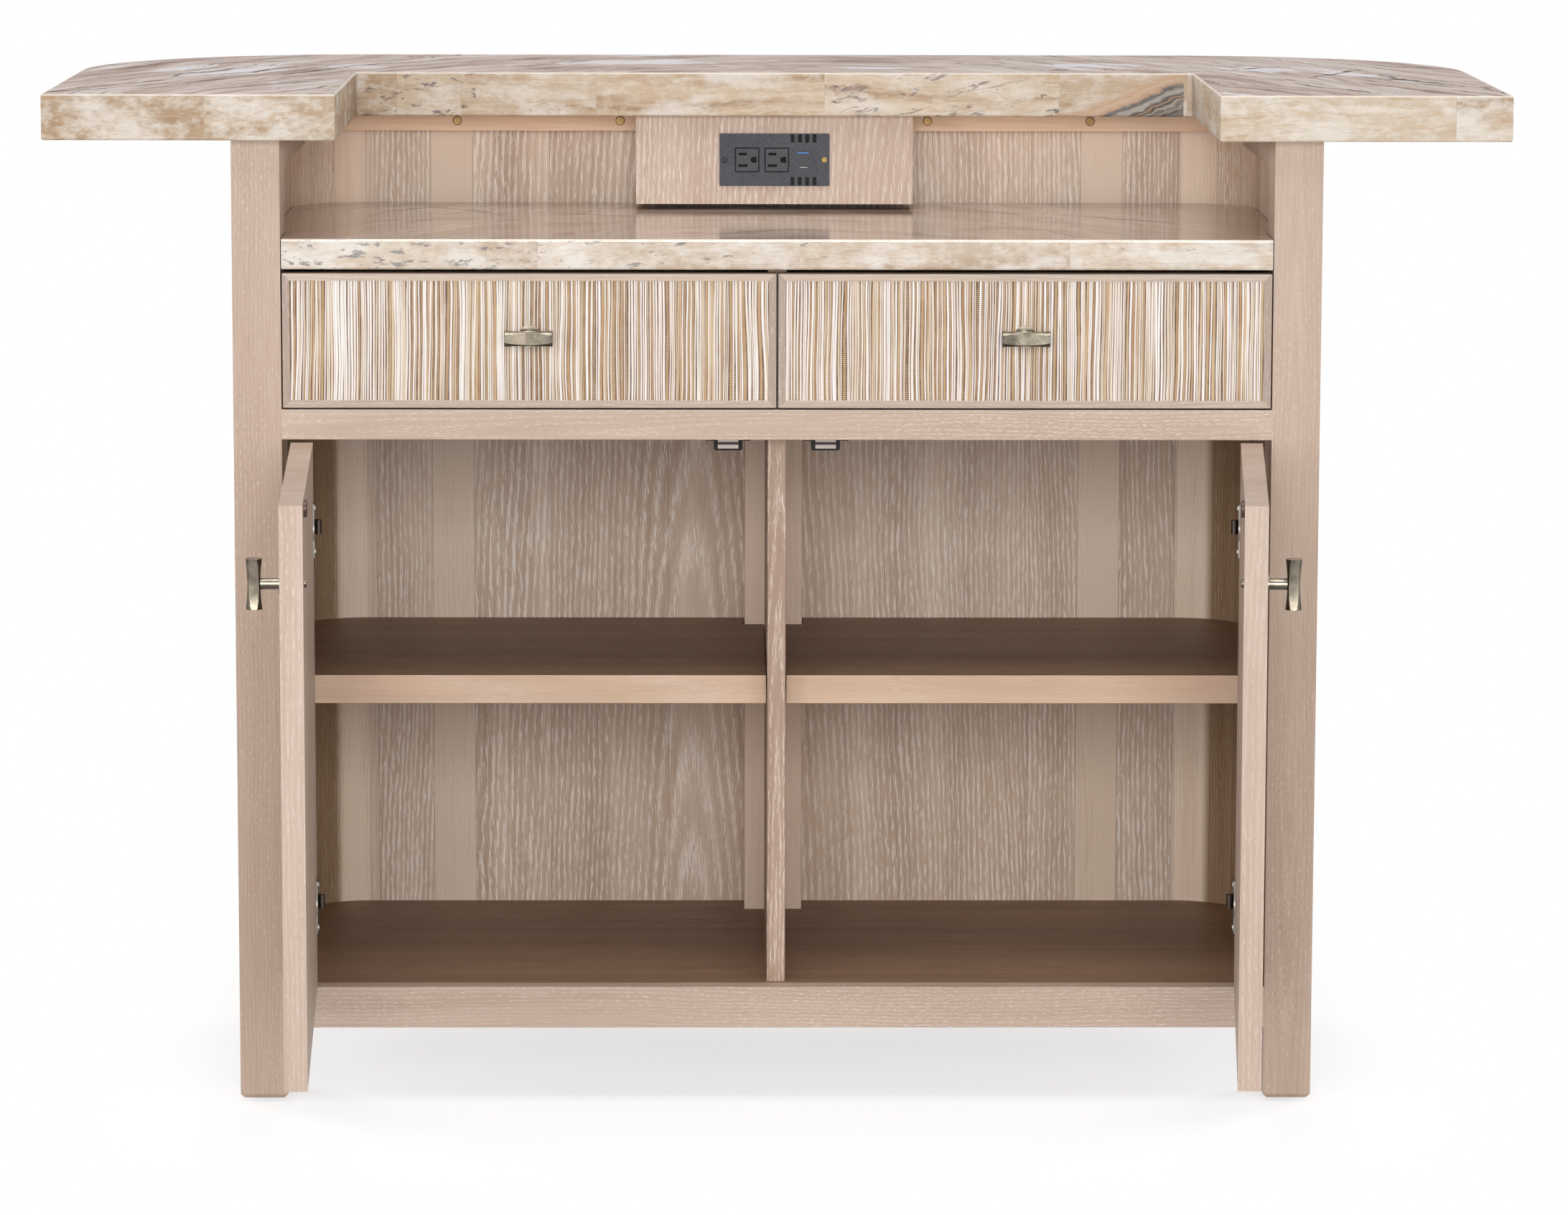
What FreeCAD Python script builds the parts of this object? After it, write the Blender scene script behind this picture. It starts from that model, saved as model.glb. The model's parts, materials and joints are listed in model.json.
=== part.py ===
import FreeCAD, Part
import math
import os

# Home bar cabinet, seen here as the bartender sees it: Y = 0 is the front of the two
# front posts, +Y runs towards the guests, +Z is up.  Every length is in millimetres.
V = FreeCAD.Vector

# ---- overall body --------------------------------------------------------------------------------
cabinet_width = 1137.0         # over the outer faces of the posts
cabinet_depth = 512.5          # post fronts to the guests' face
overall_height = 1071.0
corner_radius = 112.0          # outer radius of the two rounded guest-side corners
lining_thickness = 12.0        # veneered inner wall
cladding_thickness = 22.5      # framed outer wall
base_clearance = 80.8          # floor to the underside of the carcase

# ---- stone ---------------------------------------------------------------------------------------
bar_top_thickness = 48.0
bar_top_overhang = 193.5       # past the sides and past the guests' face
wing_overhang = 26.0           # past the post fronts
wing_width = 303.5             # each side of the bartender's notch
bar_depth = 344.0              # slab behind the notch, to the guests' edge
stone_edge_round = 2.5
notch_corner_round = 6.0
niche_height = 104.0           # worktop to the bar top's underside
worktop_thickness = 32.0
worktop_gap = 1.0              # to the posts and to the linings

# ---- posts, legs, glides -------------------------------------------------------------------------
post_width = 50.3
post_depth = 78.0
post_foot_chamfer = 4.5
rear_leg_width = 50.0
rear_leg_inset = 110.0         # leg centre, inwards from where the rounded corner begins
glide_radius = 13.0
glide_height = 4.0
glide_edge = 1.2
cut_margin = 1.0               # how far an opening's cutter runs past the face it opens

# ---- carcase boards ------------------------------------------------------------------------------
bottom_rail_height = 43.9
bottom_rail_thickness = 22.0
bottom_panel_thickness = 19.0
drawer_opening_height = 146.6  # drawer rail to the worktop's underside
drawer_rail_height = 31.8
drawer_rail_depth = 64.0
divider_thickness = 19.4
divider_setback = 31.0
divider_cleat_width = 22.4
divider_cleat_depth = 50.0
cleat_plug_radius = 5.0
cleat_plug_height = 1.0
cleat_plug_share = 0.2         # plug place, as a share of the wall between shelf and board
board_edge = 1.0               # eased arris on shelves and boards

# ---- adjustable shelves --------------------------------------------------------------------------
shelf_rise = 325.3             # its top above the bottom panel
shelf_thickness = 30.5
shelf_setback = 60.0
shelf_gap = 1.2
pin_radius = 3.0
pin_reach = 13.0               # stands out of the wall
pin_depth = 8.0                # sits in the wall
pin_hole_clearance = 0.1
pin_inset_front = 70.0         # front row of pins, in from the shelf's front edge
pin_inset_rear = 36.5          # rear row, in front of where the side wall begins to curve

# ---- ledgers and cleats under the bar top --------------------------------------------------------
ledger_height = 22.2
ledger_depth = 24.0
ledger_screw_radius = 5.15
ledger_screw_head = 1.6
ledger_end_gap = 1.0           # its mitred outer end to the curved wall
screw_inset_near = 18.5        # screw centres, out from the power box
screw_inset_far = 104.5        # and in from where the rear wall begins to curve
side_cleat_height = 33.0

# ---- power box -----------------------------------------------------------------------------------
power_box_width = 305.0
power_box_tuck = 16.0          # its front face behind the notch's rear edge
power_box_clearance = 6.4      # over the worktop
power_box_board = 18.0
plate_width = 121.0
plate_height = 57.6
plate_thickness = 3.0
plate_corner = 1.0
plate_rise = 0.2               # plate centre above the middle of the box front
module_width = 104.0
module_height = 42.0
module_depth = 38.0
module_play = 0.3              # round it in the box front
socket_size = 27.2              # its square opening in the plate
socket_groove = 1.4            # left open round its face
socket_pitch = 32.6
first_socket = 30.0            # its centre, left of the plate's middle
socket_proud = 0.8
blade_pitch = 12.7
blade_slot_width = 3.0
blade_slot_long = 10.2
blade_slot_short = 8.6
blade_setoff = 4.8             # blades, left of the socket's centre
ground_hole_radius = 3.2
ground_hole_flat = 3.4         # its straight part, right of its centre
ground_setoff = 6.9            # ground hole, right of the socket's centre
slot_depth = 2.8
usb_centre = 32.0              # right of the plate's middle
usb_a_width = 13.2
usb_a_height = 4.4
usb_a_rise = 7.8
usb_c_width = 8.2
usb_c_height = 2.6
usb_c_drop = 8.4
port_recess = 0.6
vent_width = 4.1
vent_height = 9.0
vent_pitch = 8.06
vent_inset = 5.3               # vent centres, in from the plate's upper and lower edges
vent_depth = 1.6
vent_count = 4
led_radius = 0.7
led_height = 0.3
led_pitch = 2.5
led_count = 3
led_setoff = 11.6              # right of the ports' middle
plate_screw_inset = 5.5        # screw centres, in from the plate's ends
plate_screw_radius = 3.4
plate_screw_head = 1.0
plate_screw_slot = 0.8
screw_round_share = 0.6        # rounding of a pan head, as a share of its height
screw_cross_share = 0.55       # reach of its cross, as a share of its radius
screw_cross_depth = 0.5        # depth of its cross, as a share of its height

# ---- doors ---------------------------------------------------------------------------------------
door_thickness = 23.0
door_side_gap = 1.8
door_meeting_gap = 3.0
door_top_gap = 3.1
door_bottom_gap = 3.3
front_frame_border = 7.6       # wood shown round the woven panel, on doors and drawers
cloth_thickness = 1.2
cloth_recess = 0.4
left_door_opening = 87.4       # degrees, as stored
right_door_opening = 85.7
door_pivot_inset = 6.3         # virtual pivot, in from the post's inner face
door_pivot_forward = 3.2       # and in front of the closed door's face

# ---- concealed hinges ----------------------------------------------------------------------------
hinge_upper_drop = 88.5        # below the door's top edge
hinge_lower_rise = 89.5        # above the door's bottom edge
cup_radius = 17.5
cup_depth = 11.5
cup_wall = 1.2
cup_edge_distance = 22.0       # cup centre from the door's hinge edge
cup_hole_clearance = 0.1
flange_thickness = 1.5
flange_height = 56.0
flange_width = 14.0
flange_rim = 1.5               # past the cup's outer radius
flange_screw_radius = 3.4
flange_screw_head = 1.5
flange_screw_inset = 5.1       # screw centres, in from the flange's ends
flange_screw_offset = 9.0      # past the cup centre, away from the hinge edge
widest_opening = 88.0          # degrees, where the link's tip stops against the cup's flange
link_seat_clearance = 0.16     # tip to flange at that opening
link_door_gap = 0.8            # tip to flange when the door is shut
link_pin_lead = 4.8            # the door's thickness, less the pin's distance from the post
link_thickness = 1.6
link_height = 15.0
link_turn_ratio = 0.66         # link turn for each turn of its door
link_pin_radius = 1.5
link_pin_clearance = 0.05
link_eye_radius = 3.0
link_tip_radius = 3.3
arm_length = 52.0
arm_thickness = 9.0
arm_height = 22.0
arm_cheek = 2.0
arm_gap = 0.3                  # link eye to each cheek
hinge_plate_length = 44.0
hinge_plate_height = 50.0
hinge_plate_thickness = 2.5
hinge_plate_start = 33.0

# ---- catches -------------------------------------------------------------------------------------
catch_offset = 51.3            # from the cabinet's middle
catch_body_width = 30.0
catch_flange_width = 47.6
catch_flange_thickness = 4.6
catch_flange_inset = 4.0       # in from the body's front and rear
catch_height = 14.4
catch_depth = 26.0
catch_corner_round = 2.2       # lower corners of the body
catch_face_width = 21.6
catch_face_height = 10.0
catch_face_thickness = 1.2
strike_radius = 8.5
strike_height = 3.6
strike_round_share = 0.35      # rounding of its rim, as a share of its height
strike_drop = 9.2              # centre below the door's top edge
catch_play = 0.4               # strike to catch face when the door is shut

# ---- drawers -------------------------------------------------------------------------------------
drawer_front_thickness = 22.0
drawer_front_lift = 2.0        # over the drawer rail
drawer_front_top_gap = 4.1     # under the worktop
drawer_front_side_gap = 1.6
drawer_meeting_gap = 2.3
drawer_box_height = 104.0
drawer_box_lift = 12.0         # over the drawer rail's top
drawer_back_clearance = 10.3   # to the wall behind the box's outer rear corner
drawer_side_thickness = 12.0
drawer_bottom_thickness = 6.0
drawer_bottom_lift = 10.0
slide_room = 13.0              # between drawer side and carcase, each side
slide_height = 35.0
slide_back_clearance = 8.4     # to the wall behind the slide
slide_start = 26.0
slide_core_thickness = 8.4
slide_core_height = 22.0
slide_play = 0.3
partition_setback = 25.0

# ---- pulls ---------------------------------------------------------------------------------------
pull_length = 50.0
pull_radius = 8.7
pull_end_chamfer = 0.5
pull_face_waist = 2.5          # hollow ground in front and behind, at the bar's waist
pull_face_end = 0.6            # and at its ends
pull_side_waist = 1.5          # hollow ground above and below, at the waist
pull_side_end = 0.5            # and at the ends
pull_stem_radius = 5.7
pull_stem_length = 17.0        # up to the bar's unground round
pull_plate_radius = 11.5
pull_plate_thickness = 1.6
drawer_pull_rise = 5.0
door_pull_drop = 82.8          # pull centre below the door's top edge
door_pull_edge = 51.0          # pull centre from the door's free edge
bolt_head_radius = 4.2
bolt_head_height = 2.6
bolt_head_room = 1.0           # round it in the drawer box's front
bolt_shank_radius = 2.2
bolt_clearance = 0.15
bolt_round_share = 0.5         # rounding of a bolt head, as a share of its height

# ---- outer cladding ------------------------------------------------------------------------------
clad_base_rail = 62.0
clad_top_rail = 62.0
clad_stile = 44.0
clad_panel_recess = 7.0

# ---- derived places ------------------------------------------------------------------------------
half_width = cabinet_width / 2
post_inner = half_width - post_width
wall_thickness = lining_thickness + cladding_thickness
lining_face = half_width - wall_thickness
lining_back = cabinet_depth - wall_thickness
inner_radius = corner_radius - wall_thickness
corner_x = half_width - corner_radius
corner_y = cabinet_depth - corner_radius
notch_half = half_width + bar_top_overhang - wing_width
notch_back = cabinet_depth + bar_top_overhang - bar_depth
top_underside = overall_height - bar_top_thickness
worktop_height = top_underside - niche_height
worktop_bottom = worktop_height - worktop_thickness
floor_top = base_clearance + bottom_rail_height
drawer_rail_top = worktop_bottom - drawer_opening_height
drawer_rail_bottom = drawer_rail_top - drawer_rail_height
shelf_top = floor_top + shelf_rise
shelf_bottom = shelf_top - shelf_thickness
door_bottom = floor_top + door_bottom_gap
door_top = drawer_rail_bottom - door_top_gap
door_width = post_inner - door_side_gap - door_meeting_gap / 2
door_pull_height = door_top - door_pull_drop
drawer_front_bottom = drawer_rail_top + drawer_front_lift
drawer_front_top = worktop_bottom - drawer_front_top_gap
drawer_front_width = post_inner - drawer_front_side_gap - drawer_meeting_gap / 2
pivot_x = post_inner - door_pivot_inset
pivot_y = -door_pivot_forward
link_pin_x = post_inner - door_thickness + link_pin_lead
link_pin_depth = door_thickness + flange_thickness + link_door_gap + link_tip_radius
strike_offset = catch_offset - door_meeting_gap / 2
hinge_heights = (door_bottom + hinge_lower_rise, door_top - hinge_upper_drop)


# distance of the pin and of the flange's face from the pivot, square to the fully open door
door_turn = math.radians(widest_opening)
pin_offset = (pivot_x - link_pin_x) * math.sin(door_turn) + (link_pin_depth - pivot_y) * math.cos(door_turn)
flange_offset = door_thickness + flange_thickness - pivot_y
link_length = ((flange_offset + link_tip_radius + link_seat_clearance - pin_offset)
               / math.sin(door_turn * (1 - link_turn_ratio)))


# ---- helpers -------------------------------------------------------------------------------------
def block(x0, x1, y0, y1, z0, z1):
    return Part.makeBox(x1 - x0, y1 - y0, z1 - z0, V(x0, y0, z0))


def rod(radius, length, base, direction):
    return Part.makeCylinder(radius, length, base, direction)


def prism(corners, z0, z1):
    wire = Part.makePolygon([V(x, y, z0) for x, y in corners + corners[:1]])
    return Part.Face(wire).extrude(V(0, 0, z1 - z0))


def mirrored(shape):
    return shape.mirror(V(0, 0, 0), V(1, 0, 0))


def group(shapes):
    solids = []
    for shape in shapes:
        solids.extend(shape.Solids)
    return Part.makeCompound(solids)


def both_sides(shape):
    return group([shape, mirrored(shape)])


def cut_all(shape, tools):
    for tool in tools:
        shape = shape.cut(tool)
    return shape


def eased(shape, size, pick):
    edges = [edge for edge in shape.Edges if pick(edge)]
    return shape.makeFillet(size, edges)


def at_height(z):
    def pick(edge):
        return abs(edge.BoundBox.ZMin - z) < 1e-6 and abs(edge.BoundBox.ZMax - z) < 1e-6
    return pick


def upright(edge):
    return edge.BoundBox.ZLength > 1e-3 and edge.BoundBox.XLength < 1e-6 and edge.BoundBox.YLength < 1e-6


def along_front(y):
    """Picks the long edges of the face that looks to -Y at the given place."""
    def pick(edge):
        return edge.BoundBox.YMax < y + 1e-6 and edge.BoundBox.XLength > post_width
    return pick


def arc(centre_x, centre_y, radius, start, end, z):
    middle = (start + end) / 2
    points = []
    for angle in (start, middle, end):
        turn = math.radians(angle)
        points.append(V(centre_x + radius * math.cos(turn), centre_y + radius * math.sin(turn), z))
    return Part.Arc(*points).toShape()


def rounded_plan(half, front, back, radius, z):
    """Face with square front corners and rounded rear corners."""
    side_y = back - radius
    flat_x = half - radius
    edges = [
        Part.makeLine(V(-half, front, z), V(half, front, z)),
        Part.makeLine(V(half, front, z), V(half, side_y, z)),
        arc(flat_x, side_y, radius, 0, 90, z),
        Part.makeLine(V(flat_x, back, z), V(-flat_x, back, z)),
        arc(-flat_x, side_y, radius, 90, 180, z),
        Part.makeLine(V(-half, side_y, z), V(-half, front, z)),
    ]
    return Part.Face(Part.Wire(edges))


def wall_behind(x):
    """Y of the lining's inner face, straight along the back and curved round the corner."""
    if x <= corner_x:
        return lining_back
    return corner_y + math.sqrt(inner_radius ** 2 - (x - corner_x) ** 2)


def quarter_ring(radius, thickness, z0, z1):
    """Curved board on the right rear corner, its outer face at the given radius."""
    outer = rod(radius, z1 - z0, V(corner_x, corner_y, z0), V(0, 0, 1))
    inner = rod(radius - thickness, z1 - z0, V(corner_x, corner_y, z0), V(0, 0, 1))
    quarter = block(corner_x, corner_x + radius, corner_y, corner_y + radius, z0, z1)
    return outer.cut(inner).common(quarter)


# ---- stone ---------------------------------------------------------------------------------------
def bar_top():
    half = half_width + bar_top_overhang
    back = cabinet_depth + bar_top_overhang
    plan = rounded_plan(half, -wing_overhang, back, corner_radius + bar_top_overhang, top_underside)
    slab = plan.extrude(V(0, 0, bar_top_thickness))
    notch = block(-notch_half, notch_half, -wing_overhang - cut_margin, notch_back,
                  top_underside - cut_margin, overall_height + cut_margin)
    notch = eased(notch, notch_corner_round, lambda e: upright(e) and e.BoundBox.YMin > 0)
    slab = slab.cut(notch)
    slab = eased(slab, stone_edge_round, at_height(overall_height))
    return eased(slab, stone_edge_round, at_height(top_underside))


def inside_plan(front, gap, z0, z1):
    """Board that fills the carcase between the linings, notched round the posts."""
    plan = rounded_plan(lining_face - gap, front, lining_back - gap, inner_radius - gap, z0)
    board = plan.extrude(V(0, 0, z1 - z0))
    notch = block(post_inner - gap, half_width, -cut_margin, post_depth + gap,
                  z0 - cut_margin, z1 + cut_margin)
    return board.cut(notch).cut(mirrored(notch))


def worktop():
    slab = inside_plan(0, worktop_gap, worktop_bottom, worktop_height)
    return eased(slab, stone_edge_round, along_front(0))


# ---- posts and feet ------------------------------------------------------------------------------
def post():
    shape = block(post_inner, half_width, 0, post_depth, glide_height, top_underside)
    foot = [e for e in shape.Edges if at_height(glide_height)(e)]
    return shape.makeChamfer(post_foot_chamfer, foot)


def rear_leg():
    x = corner_x - rear_leg_inset
    half = rear_leg_width / 2
    y1 = cabinet_depth
    shape = block(x - half, x + half, y1 - rear_leg_width, y1, glide_height, base_clearance)
    foot = [e for e in shape.Edges if at_height(glide_height)(e)]
    return shape.makeChamfer(post_foot_chamfer, foot)


def glide(x, y):
    disc = rod(glide_radius, glide_height, V(x, y, 0), V(0, 0, 1))
    return disc.makeFillet(glide_edge, [e for e in disc.Edges if at_height(0)(e)])


def glides():
    front = glide(half_width - post_width / 2, post_depth / 2)
    rear = glide(corner_x - rear_leg_inset, cabinet_depth - rear_leg_width / 2)
    return both_sides(group([front, rear]))


# ---- linings -------------------------------------------------------------------------------------
def shelf_pin(x, direction, y):
    """Pin in the wall whose face is at x; direction is +1 where it points to +X."""
    base = V(x - direction * pin_depth, y, shelf_bottom - pin_radius)
    return rod(pin_radius, pin_depth + pin_reach, base, V(direction, 0, 0))


def pin_hole(x, direction, y):
    base = V(x - direction * pin_depth, y, shelf_bottom - pin_radius)
    return rod(pin_radius + pin_hole_clearance, pin_depth + cut_margin, base, V(direction, 0, 0))


def pin_rows():
    return [shelf_setback + pin_inset_front, corner_y - pin_inset_rear]


def shelf_pins():
    pins = []
    for y in pin_rows():
        pins.append(shelf_pin(lining_face, -1, y))
        pins.append(shelf_pin(divider_thickness / 2, 1, y))
    return both_sides(group(pins))


def side_lining():
    board = block(lining_face, lining_face + lining_thickness, post_depth, corner_y,
                  base_clearance, top_underside)
    return cut_all(board, [pin_hole(lining_face, -1, y) for y in pin_rows()])


def corner_lining():
    return quarter_ring(corner_radius - cladding_thickness, lining_thickness, base_clearance, top_underside)


def back_lining():
    return block(-corner_x, corner_x, lining_back, lining_back + lining_thickness,
                 base_clearance, top_underside)


# ---- outer cladding ------------------------------------------------------------------------------
def clad_segments(thickness, z0, z1):
    """Straight and curved boards round one half of the outside, on top of the linings."""
    inner_x = half_width - cladding_thickness
    inner_y = cabinet_depth - cladding_thickness
    side = block(inner_x, inner_x + thickness, post_depth, corner_y, z0, z1)
    corner = quarter_ring(corner_radius - cladding_thickness + thickness, thickness, z0, z1)
    back = block(0, corner_x, inner_y, inner_y + thickness, z0, z1)
    return side, corner, back


def clad_rails(z0, z1):
    side, corner, back = clad_segments(cladding_thickness, z0, z1)
    full_back = back.fuse(mirrored(back)).removeSplitter()
    return group([both_sides(group([side, corner])), full_back])


def clad_base_rails():
    return clad_rails(base_clearance, base_clearance + clad_base_rail)


def clad_top_rails():
    return clad_rails(top_underside - clad_top_rail, top_underside)


def clad_stiles():
    z0 = base_clearance + clad_base_rail
    z1 = top_underside - clad_top_rail
    inner_x = half_width - cladding_thickness
    inner_y = cabinet_depth - cladding_thickness
    side = block(inner_x, half_width, corner_y - clad_stile, corner_y, z0, z1)
    back = block(corner_x - clad_stile, corner_x, inner_y, cabinet_depth, z0, z1)
    middle = block(-clad_stile / 2, clad_stile / 2, inner_y, cabinet_depth, z0, z1)
    return group([both_sides(group([side, back])), middle])


def clad_panels():
    z0 = base_clearance + clad_base_rail
    z1 = top_underside - clad_top_rail
    side, corner, back = clad_segments(cladding_thickness - clad_panel_recess, z0, z1)
    side = side.cut(block(0, half_width, corner_y - clad_stile, corner_y, z0, z1))
    back = back.cut(block(corner_x - clad_stile, corner_x, 0, cabinet_depth, z0, z1))
    back = back.cut(block(0, clad_stile / 2, 0, cabinet_depth, z0, z1))
    return both_sides(group([side, corner, back]))


# ---- carcase boards ------------------------------------------------------------------------------
def bottom_rail():
    rail = block(-post_inner, post_inner, 0, bottom_rail_thickness, base_clearance, floor_top)
    return eased(rail, board_edge, along_front(0))


def bottom_panel():
    return inside_plan(bottom_rail_thickness, 0, floor_top - bottom_panel_thickness, floor_top)


def drawer_rail():
    rail = block(-post_inner, post_inner, 0, drawer_rail_depth, drawer_rail_bottom, drawer_rail_top)
    return eased(rail, board_edge, along_front(0))


def drawer_deck():
    return inside_plan(drawer_rail_depth, 0, drawer_rail_bottom, drawer_rail_top)


def center_divider():
    half = divider_thickness / 2
    board = block(-half, half, divider_setback, lining_back, floor_top, drawer_rail_bottom)
    board = eased(board, board_edge, lambda e: e.BoundBox.YMax < divider_setback + 1e-6 and upright(e))
    holes = [pin_hole(half, 1, y) for y in pin_rows()]
    return cut_all(board, holes + [mirrored(hole) for hole in holes])


def drawer_partition():
    half = divider_thickness / 2
    return block(-half, half, partition_setback, lining_back, drawer_rail_top, worktop_bottom)


def divider_cleat():
    """Square batten that stiffens the joint of divider and back, with its screw plugs."""
    x0 = divider_thickness / 2
    x1 = x0 + divider_cleat_width
    y0 = lining_back - divider_cleat_depth
    batten = block(x0, x1, y0, lining_back, floor_top, drawer_rail_bottom)
    batten = eased(batten, board_edge, lambda e: upright(e) and e.BoundBox.XMin > x1 - 1e-6
                   and e.BoundBox.YMax < y0 + 1e-6)
    shelf_gap_above = drawer_rail_bottom - shelf_top
    shelf_gap_below = shelf_bottom - floor_top
    heights = [shelf_top + shelf_gap_above * cleat_plug_share,
               shelf_bottom - shelf_gap_below * cleat_plug_share,
               floor_top + shelf_gap_below * cleat_plug_share]
    plugs = [rod(cleat_plug_radius, 2 * cleat_plug_height,
                 V((x0 + x1) / 2, y0 - cleat_plug_height, z), V(0, 1, 0)) for z in heights]
    for plug in plugs:
        batten = batten.fuse(plug)
    return batten.removeSplitter()


def shelf():
    """Right-hand shelf, notched round the post and the divider's cleat."""
    board = inside_plan(shelf_setback, shelf_gap, shelf_bottom, shelf_top)
    low = shelf_bottom - cut_margin
    high = shelf_top + cut_margin
    board = board.cut(block(-half_width, divider_thickness / 2 + shelf_gap, 0, lining_back, low, high))
    cleat = block(0, divider_thickness / 2 + divider_cleat_width + shelf_gap,
                  lining_back - divider_cleat_depth - cleat_plug_height - shelf_gap, lining_back, low, high)
    return eased(board.cut(cleat), board_edge, along_front(shelf_setback))


# ---- under the bar top ---------------------------------------------------------------------------
def back_ledger():
    """Right-hand ledger, its outer end mitred to clear the curved wall."""
    inner_end = power_box_width / 2
    front = lining_back - ledger_depth
    reach = corner_x + math.sqrt(inner_radius ** 2 - (front - corner_y) ** 2) - ledger_end_gap
    return prism([(inner_end, front), (reach, front), (corner_x, lining_back), (inner_end, lining_back)],
                 top_underside - ledger_height, top_underside)


def side_cleat(z0, z1):
    """Strip on the side lining, flush with the post: one under the bar top, one behind a slide."""
    return block(post_inner, lining_face, post_depth, corner_y, z0, z1)


def side_cleats():
    under_top = side_cleat(top_underside - side_cleat_height, top_underside)
    behind_slide = side_cleat(slide_z - slide_height / 2, slide_z + slide_height / 2)
    return both_sides(group([under_top, behind_slide]))


def round_screw(x, y, z, radius, height, slot):
    """Pan head on a face that looks to -Y, with a cross recess."""
    head = rod(radius, height, V(x, y - height, z), V(0, 1, 0))
    head = head.makeFillet(height * screw_round_share,
                           [e for e in head.Edges if e.BoundBox.YMax < y - height / 2])
    arm = radius * screw_cross_share
    recess = height * screw_cross_depth
    bar_x = block(x - arm, x + arm, y - height, y - height + recess, z - slot / 2, z + slot / 2)
    bar_z = block(x - slot / 2, x + slot / 2, y - height, y - height + recess, z - arm, z + arm)
    return head.cut(bar_x).cut(bar_z)


def ledger_screws():
    y = lining_back - ledger_depth
    z = top_underside - ledger_height / 2
    heads = [round_screw(x, y, z, ledger_screw_radius, ledger_screw_head, plate_screw_slot)
             for x in (power_box_width / 2 + screw_inset_near, corner_x - screw_inset_far)]
    return both_sides(group(heads))


# ---- power box -----------------------------------------------------------------------------------
power_box_bottom = worktop_height + power_box_clearance
power_face = notch_back + power_box_tuck
plate_face = power_face - plate_thickness
plate_z = (power_box_bottom + top_underside) / 2 + plate_rise


def power_box_front():
    half = power_box_width / 2
    board = block(-half, half, power_face, power_face + power_box_board, power_box_bottom, top_underside)
    hole_width = module_width / 2 + module_play
    hole_height = module_height / 2 + module_play
    hole = block(-hole_width, hole_width, power_face - cut_margin,
                 power_face + power_box_board + cut_margin, plate_z - hole_height, plate_z + hole_height)
    return board.cut(hole)


def power_box_sides():
    half = power_box_width / 2
    y0 = power_face + power_box_board
    side = block(half - power_box_board, half, y0, lining_back, power_box_bottom, top_underside)
    under = block(power_box_board - half, half - power_box_board, y0, lining_back,
                  power_box_bottom, power_box_bottom + power_box_board)
    return group([both_sides(side), under])


def socket_centres():
    return [-first_socket, socket_pitch - first_socket]


def socket_blank(x, half, y0, y1):
    return block(x - half, x + half, y0, y1, plate_z - half, plate_z + half)


def usb_openings(y0, y1):
    openings = []
    for width, height, rise in ((usb_a_width, usb_a_height, usb_a_rise),
                                (usb_c_width, usb_c_height, -usb_c_drop)):
        openings.append(block(usb_centre - width / 2, usb_centre + width / 2, y0, y1,
                              plate_z + rise - height / 2, plate_z + rise + height / 2))
    return openings


def outlet_plate():
    plate = block(-plate_width / 2, plate_width / 2, plate_face, power_face,
                  plate_z - plate_height / 2, plate_z + plate_height / 2)
    plate = eased(plate, plate_corner, lambda e: e.BoundBox.YLength > plate_thickness / 2)
    y0 = plate_face - cut_margin
    y1 = power_face + cut_margin
    tools = [socket_blank(x, socket_size / 2, y0, y1) for x in socket_centres()]
    tools += usb_openings(y0, y1)
    vent_rise = plate_height / 2 - vent_inset
    for row in (-vent_rise, vent_rise):
        for i in range(vent_count):
            x = usb_centre + (i - (vent_count - 1) / 2) * vent_pitch
            z = plate_z + row
            tools.append(block(x - vent_width / 2, x + vent_width / 2, y0,
                               plate_face + vent_depth, z - vent_height / 2, z + vent_height / 2))
    return cut_all(plate, tools)


def outlet_module():
    return block(-module_width / 2, module_width / 2, power_face, power_face + module_depth,
                 plate_z - module_height / 2, plate_z + module_height / 2)


def socket_face(x):
    """Receptacle on its side: blades one above the other, D-shaped ground hole to the right."""
    y0 = plate_face - socket_proud
    face = socket_blank(x, socket_size / 2 - socket_groove, y0, power_face)
    y1 = y0 + slot_depth
    slots = []
    for side, length in ((1, blade_slot_short), (-1, blade_slot_long)):
        z = plate_z + side * blade_pitch / 2
        middle = x - blade_setoff
        slots.append(block(middle - length / 2, middle + length / 2, y0, y1,
                           z - blade_slot_width / 2, z + blade_slot_width / 2))
    ground = x + ground_setoff
    slots.append(rod(ground_hole_radius, y1 - y0, V(ground, y0, plate_z), V(0, 1, 0)))
    slots.append(block(ground, ground + ground_hole_flat, y0, y1,
                       plate_z - ground_hole_radius, plate_z + ground_hole_radius))
    return cut_all(face, slots)


def socket_faces():
    return group([socket_face(x) for x in socket_centres()])


def usb_ports():
    ports = usb_openings(plate_face + port_recess, power_face)
    for i in range(led_count):
        z = plate_z + (i - (led_count - 1) / 2) * led_pitch
        ports.append(rod(led_radius, led_height, V(usb_centre + led_setoff, plate_face - led_height, z),
                         V(0, 1, 0)))
    return group(ports)


def plate_screws():
    x = plate_width / 2 - plate_screw_inset
    return both_sides(round_screw(x, plate_face, plate_z, plate_screw_radius, plate_screw_head,
                                  plate_screw_slot))


# ---- catches under the drawer rail ---------------------------------------------------------------
catch_front = door_thickness + strike_height + catch_play


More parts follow.
